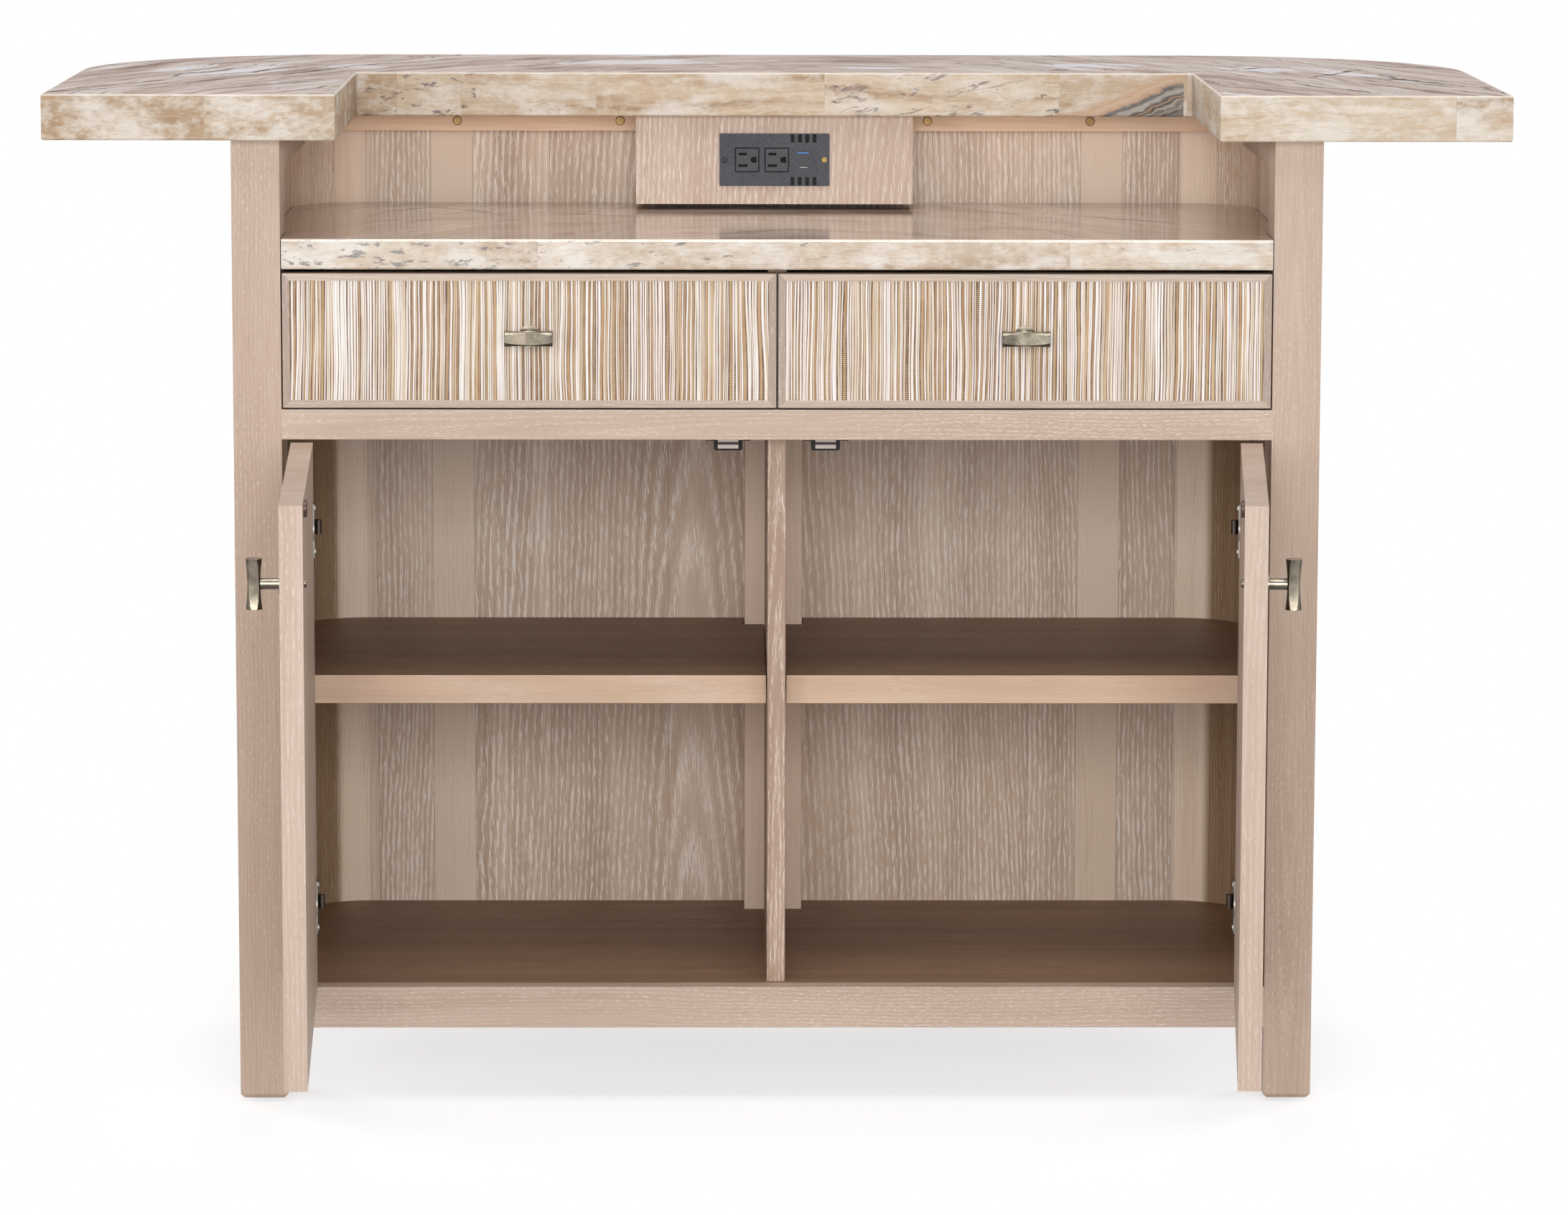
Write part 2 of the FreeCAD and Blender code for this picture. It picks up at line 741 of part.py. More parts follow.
def catch_body():
    z1 = drawer_rail_bottom
    y0 = catch_front + catch_face_thickness
    y1 = y0 + catch_depth
    half = catch_body_width / 2
    wide = catch_flange_width / 2
    body = block(catch_offset - half, catch_offset + half, y0, y1, z1 - catch_height, z1)
    body = eased(body, catch_corner_round,
                 lambda e: e.BoundBox.YLength > catch_depth / 2 and e.BoundBox.ZMax < z1 - catch_height / 2)
    flange = block(catch_offset - wide, catch_offset + wide, y0 + catch_flange_inset,
                   y1 - catch_flange_inset, z1 - catch_flange_thickness, z1)
    return body.fuse(flange).removeSplitter()


def catch_face():
    z1 = drawer_rail_bottom - catch_height / 2
    half = catch_face_width / 2
    return block(catch_offset - half, catch_offset + half, catch_front, catch_front + catch_face_thickness,
                 z1 - catch_face_height / 2, z1 + catch_face_height / 2)


# ---- pulls ---------------------------------------------------------------------------------------
def grinding_radius(waist, end):
    """Radius of the wheel that leaves a hollow of the given depths at the bar's waist and ends."""
    return ((pull_length / 2) ** 2 + (waist - end) ** 2) / (2 * (waist - end))


def pull_bar():
    """Round bar along X, ground hollow on its four sides so that it narrows to a waist."""
    axis_y = -pull_stem_length - pull_radius
    bar = rod(pull_radius, pull_length, V(-pull_length / 2, axis_y, 0), V(1, 0, 0))
    bar = bar.makeChamfer(pull_end_chamfer, [e for e in bar.Edges if e.BoundBox.XLength < 1e-6])
    face_wheel = grinding_radius(pull_face_waist, pull_face_end)
    side_wheel = grinding_radius(pull_side_waist, pull_side_end)
    face_away = pull_radius - pull_face_waist + face_wheel
    side_away = pull_radius - pull_side_waist + side_wheel
    reach = pull_radius + cut_margin
    for side in (-1, 1):
        face_tool = rod(face_wheel, 2 * reach, V(0, axis_y + side * face_away, -reach), V(0, 0, 1))
        side_tool = rod(side_wheel, 2 * reach, V(0, axis_y - reach, side * side_away), V(0, 1, 0))
        bar = bar.cut(face_tool).cut(side_tool)
    return bar


def pull():
    """Horizontal pull on a face at Y = 0 that looks to -Y, centred on X = Z = 0."""
    stem = rod(pull_stem_radius, pull_stem_length + pull_radius, V(0, 0, 0), V(0, -1, 0))
    plate = rod(pull_plate_radius, pull_plate_thickness, V(0, 0, 0), V(0, -1, 0))
    return pull_bar().fuse(stem).fuse(plate).removeSplitter()


def bolt(thickness):
    """Machine bolt through a front from behind, its head on the inner face."""
    shank = rod(bolt_shank_radius, thickness, V(0, 0, 0), V(0, 1, 0))
    head = rod(bolt_head_radius, bolt_head_height, V(0, thickness, 0), V(0, 1, 0))
    head = head.makeFillet(bolt_head_height * bolt_round_share,
                           [e for e in head.Edges if e.BoundBox.YMin > thickness + bolt_head_height / 2])
    return shank.fuse(head).removeSplitter()


def bolted_pull(x, z, thickness, stand):
    """Pull and bolt as one node; stand turns the bar upright."""
    shape = pull().fuse(bolt(thickness)).removeSplitter()
    if stand:
        shape.rotate(V(0, 0, 0), V(0, 1, 0), 90)
    shape.translate(V(x, 0, z))
    return shape


def bolt_hole(x, z, thickness):
    return rod(bolt_shank_radius + bolt_clearance, thickness + 2 * cut_margin, V(x, -cut_margin, z),
               V(0, 1, 0))


# ---- doors, modelled shut on the right-hand side, then mirrored and swung open -------------------
door_x0 = door_meeting_gap / 2
door_x1 = door_x0 + door_width
door_pull_x = door_x0 + door_pull_edge
cup_x = door_x1 - cup_edge_distance


def woven_recess(x0, x1, z0, z1):
    border = front_frame_border
    return block(x0 + border, x1 - border, -cut_margin, cloth_thickness + cloth_recess,
                 z0 + border, z1 - border)


def woven_panel(x0, x1, z0, z1, hole):
    border = front_frame_border
    panel = block(x0 + border, x1 - border, cloth_recess, cloth_recess + cloth_thickness,
                  z0 + border, z1 - border)
    return panel.cut(hole)


def pull_seat(x, z):
    """Round hole in the woven panel that lets the pull's plate sit on the wood."""
    return rod(pull_plate_radius + bolt_clearance, door_thickness, V(x, -cut_margin, z), V(0, 1, 0))


def pull_pad(x, z):
    """Wood left standing inside the recess, under the pull's plate."""
    return rod(pull_plate_radius, cloth_thickness + cloth_recess, V(x, 0, z), V(0, 1, 0))


def door_slab():
    slab = block(door_x0, door_x1, 0, door_thickness, door_bottom, door_top)
    slab = slab.cut(woven_recess(door_x0, door_x1, door_bottom, door_top))
    slab = slab.fuse(pull_pad(door_pull_x, door_pull_height)).removeSplitter()
    slab = slab.cut(bolt_hole(door_pull_x, door_pull_height, door_thickness))
    for z in hinge_heights:
        slab = slab.cut(rod(cup_radius + cup_hole_clearance, cup_depth + cut_margin,
                            V(cup_x, door_thickness - cup_depth, z), V(0, 1, 0)))
    return slab


def door_cloth():
    return woven_panel(door_x0, door_x1, door_bottom, door_top, pull_seat(door_pull_x, door_pull_height))


def door_strike():
    base = V(door_x0 + strike_offset, door_thickness, door_top - strike_drop)
    disc = rod(strike_radius, strike_height, base, V(0, 1, 0))
    return disc.makeFillet(strike_height * strike_round_share,
                           [e for e in disc.Edges if e.BoundBox.YMin > door_thickness + strike_height / 2])


def hinge_cup(z):
    """Cup sunk in the door with its flange and two fixing screws."""
    floor = door_thickness - cup_depth
    cup = rod(cup_radius, cup_depth, V(cup_x, floor, z), V(0, 1, 0))
    rim = rod(cup_radius + flange_rim, flange_thickness, V(cup_x, door_thickness, z), V(0, 1, 0))
    ear_x = cup_x - flange_screw_offset
    ear = block(ear_x - flange_width / 2, ear_x + flange_width / 2, door_thickness,
                door_thickness + flange_thickness, z - flange_height / 2, z + flange_height / 2)
    body = cup.fuse(rim).fuse(ear)
    body = body.cut(rod(cup_radius - cup_wall, cup_depth, V(cup_x, floor + cup_wall, z), V(0, 1, 0)))
    for side in (-1, 1):
        screw_z = z + side * (flange_height / 2 - flange_screw_inset)
        screw = rod(flange_screw_radius, flange_screw_head + flange_thickness,
                    V(ear_x, door_thickness, screw_z), V(0, 1, 0))
        body = body.fuse(screw)
    return body.removeSplitter()


def hinge_cups():
    return group([hinge_cup(z) for z in hinge_heights])


def swung(shape, opening):
    """Right-hand door piece turned about its pivot as the door opens."""
    turned = shape.copy()
    turned.rotate(V(pivot_x, pivot_y, 0), V(0, 0, 1), opening)
    return turned


# ---- hinge arms and links on the right-hand post -------------------------------------------------
def hinge_arm(z):
    """Plate on the post, arm on the plate, and the two cheeks that hold the link's pin."""
    y0 = hinge_plate_start
    plate = block(post_inner - hinge_plate_thickness, post_inner, y0, y0 + hinge_plate_length,
                  z - hinge_plate_height / 2, z + hinge_plate_height / 2)
    arm_x1 = post_inner - hinge_plate_thickness
    arm_x0 = arm_x1 - arm_thickness
    half = arm_height / 2
    arm = block(arm_x0, arm_x1, y0, y0 + arm_length, z - half, z + half)
    body = plate.fuse(arm)
    cheek_z = link_height / 2 + arm_gap
    for side in (-1, 1):
        low = z + cheek_z if side > 0 else z - cheek_z - arm_cheek
        cheek = prism([(link_pin_x - link_eye_radius, link_pin_depth),
                       (link_pin_x, link_pin_depth - link_eye_radius),
                       (arm_x1, y0), (arm_x1, y0 + arm_height), (arm_x0, y0 + arm_height)],
                      low, low + arm_cheek)
        body = body.fuse(cheek)
    pin = rod(link_pin_radius, link_height + 2 * arm_gap + 2 * arm_cheek,
              V(link_pin_x, link_pin_depth, z - cheek_z - arm_cheek), V(0, 0, 1))
    return body.fuse(pin).removeSplitter()


def hinge_arms():
    return both_sides(group([hinge_arm(z) for z in hinge_heights]))


def hinge_link(z, opening):
    """Link on the fixed pin, its tip lying against the cup's flange when the door is open."""
    z0 = z - link_height / 2
    bar = block(-link_length, 0, -link_thickness / 2, link_thickness / 2, 0, link_height)
    eye = rod(link_eye_radius, link_height, V(0, 0, 0), V(0, 0, 1))
    tip = rod(link_tip_radius, link_height, V(-link_length, 0, 0), V(0, 0, 1))
    body = bar.fuse(eye).fuse(tip).removeSplitter()
    body = body.cut(rod(link_pin_radius + link_pin_clearance, link_height, V(0, 0, 0), V(0, 0, 1)))
    body.rotate(V(0, 0, 0), V(0, 0, 1), opening * link_turn_ratio)
    body.translate(V(link_pin_x, link_pin_depth, z0))
    return body


def hinge_links(opening):
    return group([hinge_link(z, opening) for z in hinge_heights])


# ---- drawers, right-hand one ---------------------------------------------------------------------
drawer_x0 = drawer_meeting_gap / 2
drawer_x1 = drawer_x0 + drawer_front_width
drawer_pull_x = (drawer_x0 + drawer_x1) / 2
drawer_pull_z = (drawer_front_bottom + drawer_front_top) / 2 + drawer_pull_rise
box_x0 = divider_thickness / 2 + slide_room
box_x1 = post_inner - slide_room
box_z0 = drawer_rail_top + drawer_box_lift
slide_z = box_z0 + drawer_box_height / 2
slide_end = wall_behind(post_inner) - slide_back_clearance


def drawer_front():
    slab = block(drawer_x0, drawer_x1, 0, drawer_front_thickness, drawer_front_bottom, drawer_front_top)
    slab = slab.cut(woven_recess(drawer_x0, drawer_x1, drawer_front_bottom, drawer_front_top))
    slab = slab.fuse(pull_pad(drawer_pull_x, drawer_pull_z)).removeSplitter()
    return slab.cut(bolt_hole(drawer_pull_x, drawer_pull_z, drawer_front_thickness))


def drawer_cloth():
    return woven_panel(drawer_x0, drawer_x1, drawer_front_bottom, drawer_front_top,
                       pull_seat(drawer_pull_x, drawer_pull_z))


def drawer_box():
    """Four sides and a bottom, each its own board."""
    y0 = drawer_front_thickness
    y1 = wall_behind(box_x1) - drawer_back_clearance
    t = drawer_side_thickness
    z1 = box_z0 + drawer_box_height
    near = block(box_x0, box_x0 + t, y0, y1, box_z0, z1)
    far = block(box_x1 - t, box_x1, y0, y1, box_z0, z1)
    front = block(box_x0 + t, box_x1 - t, y0, y0 + t, box_z0, z1)
    front = front.cut(rod(bolt_head_radius + bolt_head_room, 2 * t,
                          V(drawer_pull_x, y0 - cut_margin, drawer_pull_z), V(0, 1, 0)))
    back = block(box_x0 + t, box_x1 - t, y1 - t, y1, box_z0, z1)
    low = box_z0 + drawer_bottom_lift
    bottom = block(box_x0 + t, box_x1 - t, y0 + t, y1 - t, low, low + drawer_bottom_thickness)
    return group([near, far, front, back, bottom])


def slide_core(face, direction):
    """Inner slide member on the drawer side whose face is at the given X."""
    x0, x1 = sorted((face, face + direction * slide_core_thickness))
    half = slide_core_height / 2
    return block(x0, x1, slide_start, slide_end, slide_z - half, slide_z + half)


def drawer_slides():
    return group([slide_core(box_x0, -1), slide_core(box_x1, 1)])


def slide_channel(wall, direction):
    """C-shaped outer member on the carcase face at the given X, opening towards the drawer."""
    room = slide_room - slide_play
    x0, x1 = sorted((wall, wall + direction * room))
    half = slide_height / 2
    shell = block(x0, x1, slide_start, slide_end, slide_z - half, slide_z + half)
    web = slide_room - slide_core_thickness - slide_play
    c0, c1 = sorted((wall + direction * web, wall + direction * (room + cut_margin)))
    groove = slide_core_height / 2 + slide_play
    return shell.cut(block(c0, c1, slide_start - cut_margin, slide_end + cut_margin,
                           slide_z - groove, slide_z + groove))


def slide_channels():
    return both_sides(group([slide_channel(post_inner, -1), slide_channel(divider_thickness / 2, 1)]))


# ---- assembly ------------------------------------------------------------------------------------
def cabinet_nodes():
    return {
        "bar_top": bar_top(),
        "worktop": worktop(),
        "post_left": mirrored(post()),
        "post_right": post(),
        "rear_legs": both_sides(rear_leg()),
        "glides": glides(),
        "side_lining_left": mirrored(side_lining()),
        "side_lining_right": side_lining(),
        "corner_linings": both_sides(corner_lining()),
        "back_lining": back_lining(),
        "clad_base_rails": clad_base_rails(),
        "clad_top_rails": clad_top_rails(),
        "clad_stiles": clad_stiles(),
        "clad_panels": clad_panels(),
        "bottom_rail": bottom_rail(),
        "bottom_panel": bottom_panel(),
        "drawer_rail": drawer_rail(),
        "drawer_deck": drawer_deck(),
        "center_divider": center_divider(),
        "drawer_partition": drawer_partition(),
        "divider_cleats": both_sides(divider_cleat()),
        "shelf_left": mirrored(shelf()),
        "shelf_right": shelf(),
        "shelf_pins": shelf_pins(),
        "back_ledgers": both_sides(back_ledger()),
        "side_cleats": side_cleats(),
        "ledger_screws": ledger_screws(),
        "power_box_front": power_box_front(),
        "power_box_sides": power_box_sides(),
        "outlet_plate": outlet_plate(),
        "outlet_module": outlet_module(),
        "socket_faces": socket_faces(),
        "usb_ports": usb_ports(),
        "plate_screws": plate_screws(),
        "catch_bodies": both_sides(catch_body()),
        "catch_faces": both_sides(catch_face()),
        "hinge_arms": hinge_arms(),
        "slide_channels": slide_channels(),
    }


def door_nodes(side, opening):
    pieces = {
        "door_panel": door_slab(),
        "door_cloth": door_cloth(),
        "door_pull": bolted_pull(door_pull_x, door_pull_height, door_thickness, True),
        "door_strike": door_strike(),
        "hinge_cups": hinge_cups(),
    }
    nodes = {name: swung(shape, opening) for name, shape in pieces.items()}
    nodes["hinge_links"] = hinge_links(opening)
    return placed(nodes, side)


def drawer_nodes(side):
    nodes = {
        "drawer_front": drawer_front(),
        "drawer_cloth": drawer_cloth(),
        "drawer_box": drawer_box(),
        "drawer_pull": bolted_pull(drawer_pull_x, drawer_pull_z, drawer_front_thickness, False),
        "drawer_slides": drawer_slides(),
    }
    return placed(nodes, side)


def placed(nodes, side):
    """Name the pieces for their side; left-hand ones are the mirror of right-hand ones."""
    if side == "left":
        nodes = {name: mirrored(shape) for name, shape in nodes.items()}
    return {name + "_" + side: shape for name, shape in nodes.items()}


def main():
    nodes = cabinet_nodes()
    nodes.update(door_nodes("left", left_door_opening))
    nodes.update(door_nodes("right", right_door_opening))
    nodes.update(drawer_nodes("left"))
    nodes.update(drawer_nodes("right"))
    front = min(corner.Y for shape in nodes.values() for corner in shape.Vertexes)
    back = cabinet_depth + bar_top_overhang
    os.makedirs("parts", exist_ok=True)
    for name, shape in nodes.items():
        shape.translate(V(0, -(front + back) / 2, 0))
        shape.exportStep("parts/" + name + ".step")


main()
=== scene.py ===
import bpy
import json
import math
import random
from mathutils import Matrix, Vector, noise


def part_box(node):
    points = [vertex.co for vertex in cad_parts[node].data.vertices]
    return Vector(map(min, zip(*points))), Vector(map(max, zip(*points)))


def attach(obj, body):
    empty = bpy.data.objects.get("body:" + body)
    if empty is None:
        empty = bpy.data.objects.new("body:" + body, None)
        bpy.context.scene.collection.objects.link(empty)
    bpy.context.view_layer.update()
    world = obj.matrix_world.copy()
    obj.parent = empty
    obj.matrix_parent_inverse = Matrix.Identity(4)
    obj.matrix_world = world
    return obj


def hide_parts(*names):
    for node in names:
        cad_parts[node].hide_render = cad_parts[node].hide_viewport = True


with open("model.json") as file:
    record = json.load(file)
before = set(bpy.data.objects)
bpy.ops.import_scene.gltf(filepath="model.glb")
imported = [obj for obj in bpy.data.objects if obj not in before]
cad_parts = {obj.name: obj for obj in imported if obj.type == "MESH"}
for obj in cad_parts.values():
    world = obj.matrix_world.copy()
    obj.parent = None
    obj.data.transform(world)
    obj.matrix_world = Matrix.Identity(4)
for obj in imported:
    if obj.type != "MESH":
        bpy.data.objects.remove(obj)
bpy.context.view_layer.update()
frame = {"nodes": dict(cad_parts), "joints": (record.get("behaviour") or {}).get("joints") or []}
nodes = frame["nodes"]


# ---- colours and node graphs -----------------------------------------------------------------
def srgb(red, green, blue):
    """Linear colour for the 0-255 values that a painter would name."""
    def linear(value):
        value /= 255
        return value / 12.92 if value <= 0.04045 else ((value + 0.055) / 1.055) ** 2.4
    return (linear(red), linear(green), linear(blue), 1.0)


class Graph:
    """Adds nodes to an emptied node tree. Inputs may be sockets or plain values."""

    def __init__(self, tree):
        self.tree = tree
        tree.nodes.clear()

    def add(self, kind, inputs=None, **settings):
        node = self.tree.nodes.new(kind)
        for key, value in settings.items():
            setattr(node, key, value)
        for key, value in (inputs or {}).items():
            if isinstance(value, bpy.types.NodeSocket):
                self.tree.links.new(value, node.inputs[key])
            else:
                node.inputs[key].default_value = value
        return node

    def math(self, operation, a, b=0.0):
        return self.add("ShaderNodeMath", {0: a, 1: b}, operation=operation).outputs[0]

    def total(self, first, *rest):
        for value in rest:
            first = self.math("ADD", first, value)
        return first

    def times(self, first, *rest):
        for value in rest:
            first = self.math("MULTIPLY", first, value)
        return first

    def minus(self, a, b):
        return self.math("SUBTRACT", a, b)

    def size(self, value):
        return self.math("ABSOLUTE", value)

    def greater(self, a, b):
        return self.math("MAXIMUM", a, b)

    def lesser(self, a, b):
        return self.math("MINIMUM", a, b)

    def above(self, value, limit):
        return self.math("GREATER_THAN", value, limit)

    def below(self, value, limit):
        return self.math("LESS_THAN", value, limit)

    def vector(self, operation, a, b=(0.0, 0.0, 0.0)):
        node = self.add("ShaderNodeVectorMath", {0: a, 1: b}, operation=operation)
        return node.outputs["Value" if operation in ("LENGTH", "DOT_PRODUCT") else "Vector"]

    def parts(self, vector):
        node = self.add("ShaderNodeSeparateXYZ", {0: vector})
        return node.outputs[0], node.outputs[1], node.outputs[2]

    def joined(self, x, y, z):
        return self.add("ShaderNodeCombineXYZ", {0: x, 1: y, 2: z}).outputs[0]

    def noise(self, place, scale=None, detail=2.0, roughness=0.5):
        """Noise round 0.5, finer along each axis by its scale."""
        if scale:
            place = self.vector("MULTIPLY", place, scale)
        return self.add("ShaderNodeTexNoise", {"Vector": place, "Scale": 1.0, "Detail": detail,
                                               "Roughness": roughness}).outputs[0]

    def swing(self, value, amount):
        """A noise that lies round 0.5, brought round 0 and scaled."""
        return self.times(self.minus(value, 0.5), amount)

    def step(self, value, low, high, start=0.0, end=1.0):
        """Smooth change from start to end as value goes from low to high."""
        return self.add("ShaderNodeMapRange", {0: value, 1: low, 2: high, 3: start, 4: end},
                        interpolation_type="SMOOTHSTEP").outputs[0]

    def line(self, value, level, width, strength=1.0):
        """A soft line where value is near a level."""
        return self.step(self.size(self.minus(value, level)), width, 0.0, 0.0, strength)

    def mix(self, factor, a, b, blend="MIX"):
        return self.add("ShaderNodeMix", {0: factor, 6: a, 7: b}, data_type="RGBA",
                        blend_type=blend).outputs[2]

    def dyed(self, colour, tint):
        return self.mix(1.0, colour, srgb(*tint), "MULTIPLY")

    def ramp(self, value, stops, interpolation="LINEAR"):
        node = self.add("ShaderNodeValToRGB", {0: value})
        ramp = node.color_ramp
        ramp.interpolation = interpolation
        while len(ramp.elements) > 1:
            ramp.elements.remove(ramp.elements[-1])
        ramp.elements[0].position, ramp.elements[0].color = stops[0]
        for position, colour in stops[1:]:
            ramp.elements.new(position).color = colour
        return node.outputs[0]

    def hues(self, value, *stops):
        """Colour by value; each stop is a position and the three 0-255 numbers of its colour."""
        return self.ramp(value, [(stop[0], srgb(*stop[1:])) for stop in stops])

    def strips(self, place, edges, joint):
        """Value of the strip a place lies on, and how much it lies on the joint of two strips."""
        # a ramp runs from 0 to 1, and places run from -1 to 1
        stops = [(0.5 + edge / 2, (value, value, value, 1)) for edge, value in edges]
        spot = self.add("ShaderNodeMath", {0: place, 1: 0.5, 2: 0.5},
                        operation="MULTIPLY_ADD").outputs[0]
        value = self.ramp(spot, stops, "CONSTANT")
        beside = self.ramp(self.total(spot, joint / 2), stops, "CONSTANT")
        apart = self.size(self.minus(value, beside))
        return value, self.step(apart, 0.001, 0.01)

    def plainly_seen(self):
        """1 for rays from the camera, off gloss or through glass, else 0."""
        path = self.add("ShaderNodeLightPath").outputs
        return self.greater(path["Is Camera Ray"],
                            self.greater(path["Is Glossy Ray"], path["Is Transmission Ray"]))


class Shader(Graph):
    """Node graph of one material. place and normal are in the frame of the row at rest."""

    def __init__(self, name):
        self.material = bpy.data.materials.new(name)
        self.material.use_nodes = True
        super().__init__(self.material.node_tree)
        source = self.add("ShaderNodeTexCoord")
        self.place = source.outputs["Object"]
        self.normal = source.outputs["Normal"]

    def finish(self, colour, roughness, height=None, depth=None, strength=None, **fixed):
        """Surface of a colour and a roughness, perhaps with a height whose range is depth metres
        and whose bump has a strength; fixed names further sockets of the shader."""
        inputs = {"Base Color": colour, "Roughness": roughness}
        inputs.update({key.replace("_", " "): value for key, value in fixed.items()})
        if height is not None:
            inputs["Normal"] = self.add("ShaderNodeBump", {"Strength": strength, "Distance": depth,
                                                           "Height": height}).outputs[0]
        surface = self.add("ShaderNodeBsdfPrincipled", inputs)
        self.add("ShaderNodeOutputMaterial", {"Surface": surface.outputs[0]})
        return self.material


# ---- the cabinet's wall, followed round its corners --------------------------------------------
corner_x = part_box("back_lining")[1].x
corner_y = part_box("corner_linings")[0].y
corner_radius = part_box("clad_base_rails")[1].x - corner_x


def along_wall(s):
    """Signed distance along the wall from the middle of the back, positive on the right."""
    x, y, _ = s.parts(s.place)
    side = s.size(x)
    past_x = s.greater(s.minus(side, corner_x), 0.0)
    past_y = s.greater(s.minus(y, corner_y), 0.0)
    turn = s.times(s.math("ARCTAN2", past_x, past_y), corner_radius)
    back = s.lesser(side, corner_x)
    flank = s.greater(s.minus(corner_y, y), 0.0)
    # a point on the back has no flank, and one on the flank has passed the whole corner
    return s.times(s.total(back, turn, flank), s.math("SIGN", x))


# ---- limed oak ---------------------------------------------------------------------------------
OAK_ROUGH = 0.5
WARM = (246, 226, 214)          # tint of the redder spots
WARM_SHARE = 0.12
JOINT_DARK = (88, 68, 56)
LEAF_JOINT = 0.0007             # widths of the dark lines between leaves and at mitres, in metres
MITRE_JOINT = 0.0005
LEAF_JUMPS = (0.11, 0.06, 2.0)  # how far apart in the tree leaves are cut, in metres
PALE_LEAVES = (0.55, 0.8)       # shades over which leaves lose their lime, down to a share
PALE_LIME = 0.12
# the lower tint is painted shade on the wall's ends inside the cupboards; these say where it sets
# in
WALL_SHADE_SPAN = (0.042, 0.060)      # where the lower tint sets in, past the start of the corner
BOARD_DEPTH = 0.01              # how far a bent board's face lies from the middle of its rings


def frame_axes(s, x, z):
    """Fibres of a mitred frame run along each of its members; the mitres show as fine lines. It
    also tells which members stand upright, as these take painted shade.
    """
    low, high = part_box("drawer_front_right")
    side = s.size(x)
    to_end = s.lesser(s.minus(side, low.x), s.minus(high.x, side))
    to_edge = s.lesser(s.minus(z, low.z), s.minus(high.z, z))
    past = s.minus(to_end, to_edge)
    upright = s.below(past, 0.0)
    level = s.minus(1.0, upright)
    across = s.total(s.times(x, upright), s.times(z, level))
    along = s.total(s.times(z, upright), s.times(x, level))
    return across, along, s.step(s.size(past), MITRE_JOINT, 0.0), upright


